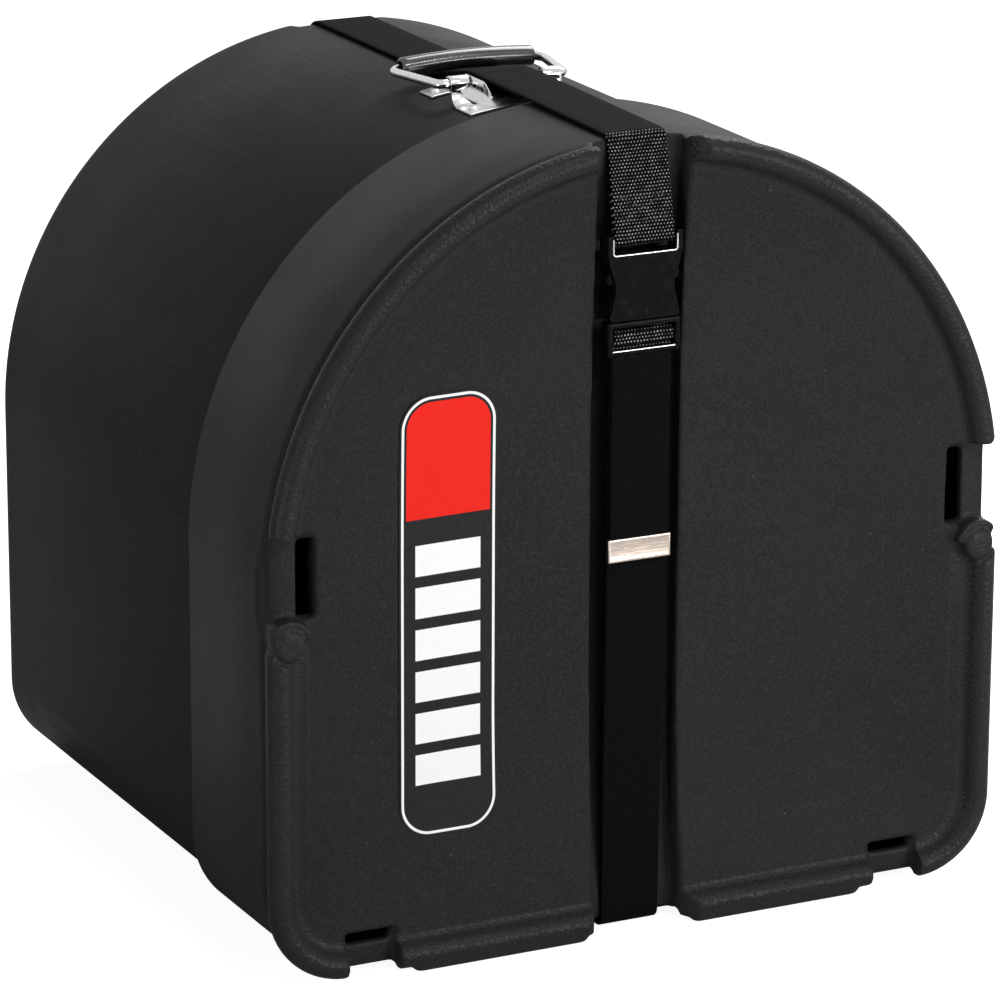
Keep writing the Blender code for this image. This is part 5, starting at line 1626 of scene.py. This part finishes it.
# The handle sits off the case's middle; its saddle is sheet with an ear at each side
HANDLE_SHIFT = -0.0035
SHEET = 0.0015
EAR_HALF = 0.006
EAR_GAP = 0.001
BRIDGE_HALF = 0.0165
RAMP = 0.016
SADDLE_LEAD = 0.031
SADDLE_LENGTH = 0.070
CROWN = 0.0030
CROWN_REACH = 0.024
EAR_OPENING = (-0.0145, 0.022)
RIVETS = (-0.0215, 0.0305)

# For each arm of the bail: its side, where it leaves the pivot, and where it meets the grip's line
BAIL_ARMS = ((1, 0.0364, 0.0505), (-1, -0.0460, -0.0515))


def hat_share(depth):
    """How far the saddle's sheet has risen from the flange (0) to the bridge (1)."""
    handle = bpy.context.scene.case_handle
    rise = smooth_step((depth - handle.pivot_depth + HAT_FRONT_REACH + RAMP) / RAMP)
    fall = smooth_step((handle.pivot_depth + HAT_BACK_REACH + RAMP - depth) / RAMP)
    return rise * fall


def seat_height(x):
    """Height of the bucket's round top where the saddle lies on it."""
    shell = bpy.context.scene.case_shell
    return shell.arc_height + math.sqrt((shell.radius - body_inset() + PART_GAP) ** 2 - x ** 2)


def pivot_height():
    return body_top() + bpy.context.scene.case_handle.pivot_rise


def ear_middle(side):
    return HANDLE_SHIFT + side * (bpy.context.scene.case_handle.half_width - EAR_HALF)


def ribbon_outline(path, thickness):
    """The side outline of sheet that follows a path at its middle."""
    near, far = [], []
    for point, ahead in zip(path, ways_along(path)):
        side = Vector((-ahead.y, ahead.x)) * thickness / 2
        near.append(tuple(point + side))
        far.append(tuple(point - side))
    return near + far[::-1]


def make_saddle():
    """A stamped sheet: a flange, the bridge under the strap, two rolled ears, and rivets."""
    handle = bpy.context.scene.case_handle
    front = handle.pivot_depth - SADDLE_LEAD
    middle = front + CROWN_REACH
    half = handle.half_width
    aside_from = half - 2 * EAR_HALF - EAR_GAP
    bm = bmesh.new()
    bmesh.ops.create_grid(bm, x_segments=73, y_segments=140, size=0.5)
    for vertex in bm.verts:
        x = HANDLE_SHIFT + vertex.co.x * 2 * half
        depth = front + (vertex.co.y + 0.5) * SADDLE_LENGTH
        share = hat_share(depth) if abs(x - HANDLE_SHIFT) < BRIDGE_HALF else 0
        bowed = CROWN * max(1 - ((depth - middle) / CROWN_REACH) ** 2, 0)
        if depth > middle:
            bowed = CROWN * smooth_step((front + SADDLE_LENGTH - 0.008 - depth) / 0.024)
        bowed *= smooth_step((aside_from - abs(x - HANDLE_SHIFT)) / 0.006)
        low = min(seat_height(x) + bowed, hat_top() - SHEET)
        height = low * (1 - share) + (hat_top() - SHEET) * share
        vertex.co = (x, back(depth), height)
    gaps = []
    for face in bm.faces:
        centre = face.calc_center_median()
        aside = abs(centre.x - HANDLE_SHIFT) > aside_from
        behind = centre.y - back(handle.pivot_depth)
        if aside and EAR_OPENING[0] < behind < EAR_OPENING[1]:
            gaps.append(face)
    bmesh.ops.delete(bm, geom=gaps, context="FACES")
    bmesh.ops.recalc_face_normals(bm, faces=bm.faces)
    thicken(bm, bm.faces[:], (0, 0, SHEET))
    soften(bm, 0.00045, 3, 60)
    finish = finish_named("stamped chrome", chrome_finish, "stamped chrome", 0.24)
    saddle = object_from(bm, "handle_saddle_plate", finish)

    roll = handle.wire + 0.0002 + SHEET / 2
    added = []
    for side in (-1, 1):
        middle = ear_middle(side)
        foot = seat_height(middle) + SHEET / 2
        path = rounded_path([(handle.pivot_depth - 0.022, foot), (handle.pivot_depth - roll, foot),
                             (handle.pivot_depth - roll, pivot_height())], 0.0085, 16)
        path = path[:-1] + [Vector(point) for point in
                            arc((handle.pivot_depth, pivot_height()), roll, 180, -100, 32)]
        bm = bmesh.new()
        prism(bm, ribbon_outline(path, SHEET), middle - EAR_HALF, middle + EAR_HALF, across)
        rise = pivot_height() - seat_height(middle)
        for vertex in bm.verts:
            share = min(max((pivot_height() - vertex.co.z) / rise, 0), 1)
            inner = side * (middle - vertex.co.x) > 0
            front_leg = vertex.co.y < back(handle.pivot_depth) - roll * 0.6
            vertex.co.z += (seat_height(vertex.co.x) - seat_height(middle)) * share
            if inner and front_leg:
                waist = smooth_step(share / 0.35) * smooth_step((1.02 - share) / 0.25)
                vertex.co.x += side * 0.0048 * waist
        soften(bm, 0.0004, 2, 50)
        added.append(("UNION", object_from(bm, "add ear")))
        bm = bmesh.new()
        for behind in RIVETS:
            made = bmesh.ops.create_uvsphere(bm, u_segments=28, v_segments=14,
                                             radius=0.0030)["verts"]
            bmesh.ops.scale(bm, verts=made, vec=(1, 1, 0.45))
            place = (middle, back(handle.pivot_depth + behind), seat_height(middle) + SHEET)
            bmesh.ops.translate(bm, verts=made, vec=place)
        added.append(("UNION", object_from(bm, "add rivets")))
    combine(saddle, added)
    saddle.data.shade_smooth()
    saddle.data.set_sharp_from_angle(angle=math.radians(40))
    dress(saddle, "case", "chrome", "handle_saddle")


def tube(bm, path, radius, sides):
    """A round bar along a path, with flat ends."""
    rings = []
    ways = ways_along(path)
    normal = ways[0].orthogonal().normalized()
    for point, ahead in zip(path, ways):
        normal = (normal - ahead * normal.dot(ahead)).normalized()
        side = ahead.cross(normal)
        ring = []
        for step in range(sides):
            turn = 2 * math.pi * step / sides
            ring.append(point + (normal * math.cos(turn) + side * math.sin(turn)) * radius)
        rings.append(ring)
    draw_along(bm, rings)


def grip_lift(x):
    """Height of the grip's middle line over the pivot: it bows up between its ends."""
    handle = bpy.context.scene.case_handle
    return 0.0005 - handle.bow * (2 * x / handle.grip_length) ** 2


def make_bail():
    handle = bpy.context.scene.case_handle
    arms = []
    for side, pivot_arm, corner in BAIL_ARMS:
        half = [(ear_middle(side) - side * EAR_HALF, 0, 0), (pivot_arm, 0, 0),
                (corner, handle.reach, grip_lift(corner)),
                (side * 0.036, handle.reach, grip_lift(0.036))]
        first = rounded_path(half[:3], 0.0045, 14)
        second = rounded_path(half[1:], 0.008, 18)
        arms.append(first[:-1] + second[1:])
    bowed = [Vector((x / 1000, handle.reach, grip_lift(x / 1000))) for x in range(30, -31, -6)]
    path = arms[0] + bowed + arms[1][::-1]
    shift = Vector((0, back(handle.pivot_depth), pivot_height()))
    bm = bmesh.new()
    tube(bm, [point + shift for point in path], handle.wire, 32)
    soften(bm, 0.0005, 2, 60)
    bail = object_from(bm, "handle_wire_bail", finish_named("plated chrome", chrome_finish))
    dress(bail, "bail", "chrome", "handle_bail")


def make_grip():
    """The vinyl sleeve, with slightly swollen lips at its open ends."""
    handle = bpy.context.scene.case_handle
    half = handle.grip_length / 2
    bore = handle.wire + PART_GAP
    thick = handle.grip
    low = [(bore + 0.0012, half), (thick - 0.0012, half), (thick - 0.0004, half - 0.0003),
           (thick, half - 0.0012), (thick - 0.0001, half - 0.004), (thick - 0.0002, half - 0.010)]
    low += [(thick - 0.0002, half - 0.010 - 0.0068 * step) for step in range(1, 6)]
    inside = [(bore, half - 0.0068 * step) for step in range(13)]
    profile = low + [(radius, -along) for radius, along in reversed(low)]
    profile += [(radius, -along) for radius, along in inside[1:]]
    bm = bmesh.new()
    ring = [bm.verts.new((along, radius, 0)) for radius, along in profile]
    edges = [bm.edges.new(pair) for pair in zip(ring, ring[1:] + ring[:1])]
    bmesh.ops.spin(bm, geom=ring + edges, cent=(0, 0, 0), axis=(1, 0, 0),
                   angle=2 * math.pi, steps=48, use_merge=True)
    place = (0, back(handle.pivot_depth + handle.reach), pivot_height())
    for vertex in bm.verts:
        vertex.co.z += grip_lift(vertex.co.x)
    bmesh.ops.translate(bm, verts=bm.verts, vec=place)
    bmesh.ops.remove_doubles(bm, verts=bm.verts, dist=0.00001)
    grip = object_from(bm, "handle_vinyl_grip", finish_named("sleeve vinyl", vinyl_finish), 50)
    dress(grip, "bail", "grip_vinyl", "handle_grip")


# The studio ------------------------------------------------------------------------

# The camera as fitted to the photograph, and the soft lights: place, target, size and power
CAMERA_PLACE = (-1.4054, -2.8665, 1.1742)
CAMERA_TURN = (26.337, 16.841, 0.20)
LIGHTS = [("top softbox", (1.2, 0.6, 2.0), (0, 0, 0.25), (1.2, 1.2), "key"),
          ("front softbox", (1.5, -2.6, 0.4), (0, 0, 0.25), (1.4, 0.9), "fill"),
          ("slim softbox", (0.3, -1.8, 1.9), (0, 0, 0.35), (1.2, 0.12), "edge"),
          ("low softbox", (-1.9, -0.9, 0.25), (-0.24, -0.05, 0.05), (0.9, 0.4), "low")]


def look_matrix(yaw, pitch, roll):
    """Turns a camera that looks along a yaw from +Y and down by a pitch."""
    ahead = Vector((math.sin(yaw) * math.cos(pitch), math.cos(yaw) * math.cos(pitch),
                    -math.sin(pitch)))
    right = Vector((math.cos(yaw), -math.sin(yaw), 0))
    up = right.cross(ahead)
    turned_right = right * math.cos(roll) + up * math.sin(roll)
    turned_up = up * math.cos(roll) - right * math.sin(roll)
    return Matrix((turned_right, turned_up, -ahead)).transposed().to_4x4()


def make_camera():
    stage = bpy.context.scene.case_stage
    data = bpy.data.cameras.new("photo camera")
    data.sensor_width = 36
    data.lens = stage.lens
    camera = bpy.data.objects.new("photo camera", data)
    turn = look_matrix(*(math.radians(angle) for angle in CAMERA_TURN))
    camera.matrix_world = Matrix.Translation(CAMERA_PLACE) @ turn
    bpy.context.scene.collection.objects.link(camera)
    bpy.context.scene.camera = camera


def area_light(name, place, target, size, power):
    data = bpy.data.lights.new(name, "AREA")
    data.shape = "RECTANGLE"
    data.size, data.size_y = size
    data.energy = power
    lamp = bpy.data.objects.new(name, data)
    lamp.location = place
    ahead = Vector(target) - Vector(place)
    lamp.rotation_euler = ahead.to_track_quat("-Z", "Y").to_euler()
    bpy.context.scene.collection.objects.link(lamp)


def make_floor():
    """A wide plain floor that the camera sees a little brighter than it is lit."""
    finish = Finish("studio floor", bpy.context.scene.case_stage.floor, 0.9)
    finish.set("Specular IOR Level", 0.0)
    finish.set("Emission Color", (1, 1, 1, 1))
    seen = finish.add("ShaderNodeLightPath").outputs["Is Camera Ray"]
    finish.link(finish.maths("MULTIPLY", seen, 0.92), "Emission Strength")
    bm = bmesh.new()
    bmesh.ops.create_circle(bm, cap_ends=True, segments=96, radius=6.0)
    floor = object_from(bm, "studio_floor", finish.material)


def make_world():
    """White to the camera and in mirrors, but nearly dark as a light."""
    world = bpy.data.worlds.new("studio")
    bpy.context.scene.world = world
    world.use_nodes = True
    tree = world.node_tree
    tree.nodes.clear()
    white = (1, 1, 1, 1)
    lit = add_node(tree, "ShaderNodeBackground", {"Color": white, "Strength": 0.06})
    seen = add_node(tree, "ShaderNodeBackground", {"Color": white, "Strength": 1.0})
    ray = add_node(tree, "ShaderNodeLightPath").outputs
    either = add_node(tree, "ShaderNodeMath", {0: ray["Is Glossy Ray"],
                                               1: ray["Is Transmission Ray"]},
                      operation="MAXIMUM").outputs[0]
    share = add_node(tree, "ShaderNodeMath", {0: ray["Is Camera Ray"], 1: either},
                     operation="MAXIMUM").outputs[0]
    mixed = add_node(tree, "ShaderNodeMixShader",
                     {0: share, 1: lit.outputs[0], 2: seen.outputs[0]}).outputs[0]
    add_node(tree, "ShaderNodeOutputWorld", {"Surface": mixed})


def make_lights():
    stage = bpy.context.scene.case_stage
    for name, place, target, size, power in LIGHTS:
        area_light(name, place, target, size, getattr(stage, power))


# Operators -------------------------------------------------------------------------

class CASE_OT_stage(bpy.types.Operator):
    """Set the floor, the lights and the camera at the photograph's angle"""

    bl_idname = "case.stage"
    bl_label = "Studio"

    def execute(self, context):
        context.scene.view_settings.view_transform = "Standard"
        make_camera()
        make_floor()
        make_world()
        make_lights()
        return {"FINISHED"}


class CASE_OT_bucket(bpy.types.Operator):
    """Mould the bucket with its back channel and rear feet"""

    bl_idname = "case.bucket"
    bl_label = "Bucket"

    def execute(self, context):
        make_bucket()
        return {"FINISHED"}


class CASE_OT_lid(bpy.types.Operator):
    """Mould the lid with its bead, dished face, channel, slots, knobs and feet"""

    bl_idname = "case.lid"
    bl_label = "Lid"

    def execute(self, context):
        make_lid()
        return {"FINISHED"}


class CASE_OT_foam(bpy.types.Operator):
    """Cut the foam discs inside the lid and the bucket"""

    bl_idname = "case.foam"
    bl_label = "Foam discs"

    def execute(self, context):
        make_foams()
        return {"FINISHED"}


class CASE_OT_sticker(bpy.types.Operator):
    """Lay the plain sticker on the lid's dished face"""

    bl_idname = "case.sticker"
    bl_label = "Sticker"

    def execute(self, context):
        make_sticker()
        return {"FINISHED"}


class CASE_OT_straps(bpy.types.Operator):
    """Run the webbing round the case, through the buckle and down its tail"""

    bl_idname = "case.straps"
    bl_label = "Webbing"

    def execute(self, context):
        make_case_straps()
        make_lid_straps()
        make_tail()
        return {"FINISHED"}


class CASE_OT_buckle(bpy.types.Operator):
    """Mould the side release buckle: socket, plug and two prongs"""

    bl_idname = "case.buckle"
    bl_label = "Buckle"

    def execute(self, context):
        make_socket()
        make_plug()
        make_prong("buckle_prong_arm_left", "buckle_prong_left", "prong_left", -1)
        make_prong("buckle_prong_arm_right", "buckle_prong_right", "prong_right", 1)
        return {"FINISHED"}


class CASE_OT_handle(bpy.types.Operator):
    """Stamp the saddle and bend the bail with its vinyl grip"""

    bl_idname = "case.handle"
    bl_label = "Handle"

    def execute(self, context):
        make_saddle()
        make_bail()
        make_grip()
        return {"FINISHED"}


OPERATORS = (CASE_OT_stage, CASE_OT_bucket, CASE_OT_lid, CASE_OT_foam, CASE_OT_sticker,
             CASE_OT_straps, CASE_OT_buckle, CASE_OT_handle)


class CASE_PT_panel(bpy.types.Panel):
    """The drum case's pieces and sizes"""

    bl_idname = "CASE_PT_panel"
    bl_label = "Drum Case"
    bl_space_type = "VIEW_3D"
    bl_region_type = "UI"
    bl_category = "Drum Case"

    def draw(self, context):
        column = self.layout.column(align=True)
        for operator in OPERATORS:
            column.operator(operator.bl_idname)
        for group, kind in GROUPS.items():
            box_area = self.layout.box()
            box_area.label(text=kind.__doc__)
            for name in kind.__annotations__:
                box_area.prop(getattr(context.scene, group), name)


def register():
    for kind in (*GROUPS.values(), *OPERATORS, CASE_PT_panel):
        bpy.utils.register_class(kind)
    for group, kind in GROUPS.items():
        setattr(bpy.types.Scene, group, bpy.props.PointerProperty(type=kind))


def unregister():
    for group in GROUPS:
        delattr(bpy.types.Scene, group)
    for kind in (CASE_PT_panel, *reversed(OPERATORS), *reversed(GROUPS.values())):
        bpy.utils.unregister_class(kind)


def main():
    register()
    bpy.ops.case.stage()
    bpy.ops.case.bucket()
    bpy.ops.case.lid()
    bpy.ops.case.foam()
    bpy.ops.case.sticker()
    bpy.ops.case.straps()
    bpy.ops.case.buckle()
    bpy.ops.case.handle()


if __name__ == "__main__":
    main()
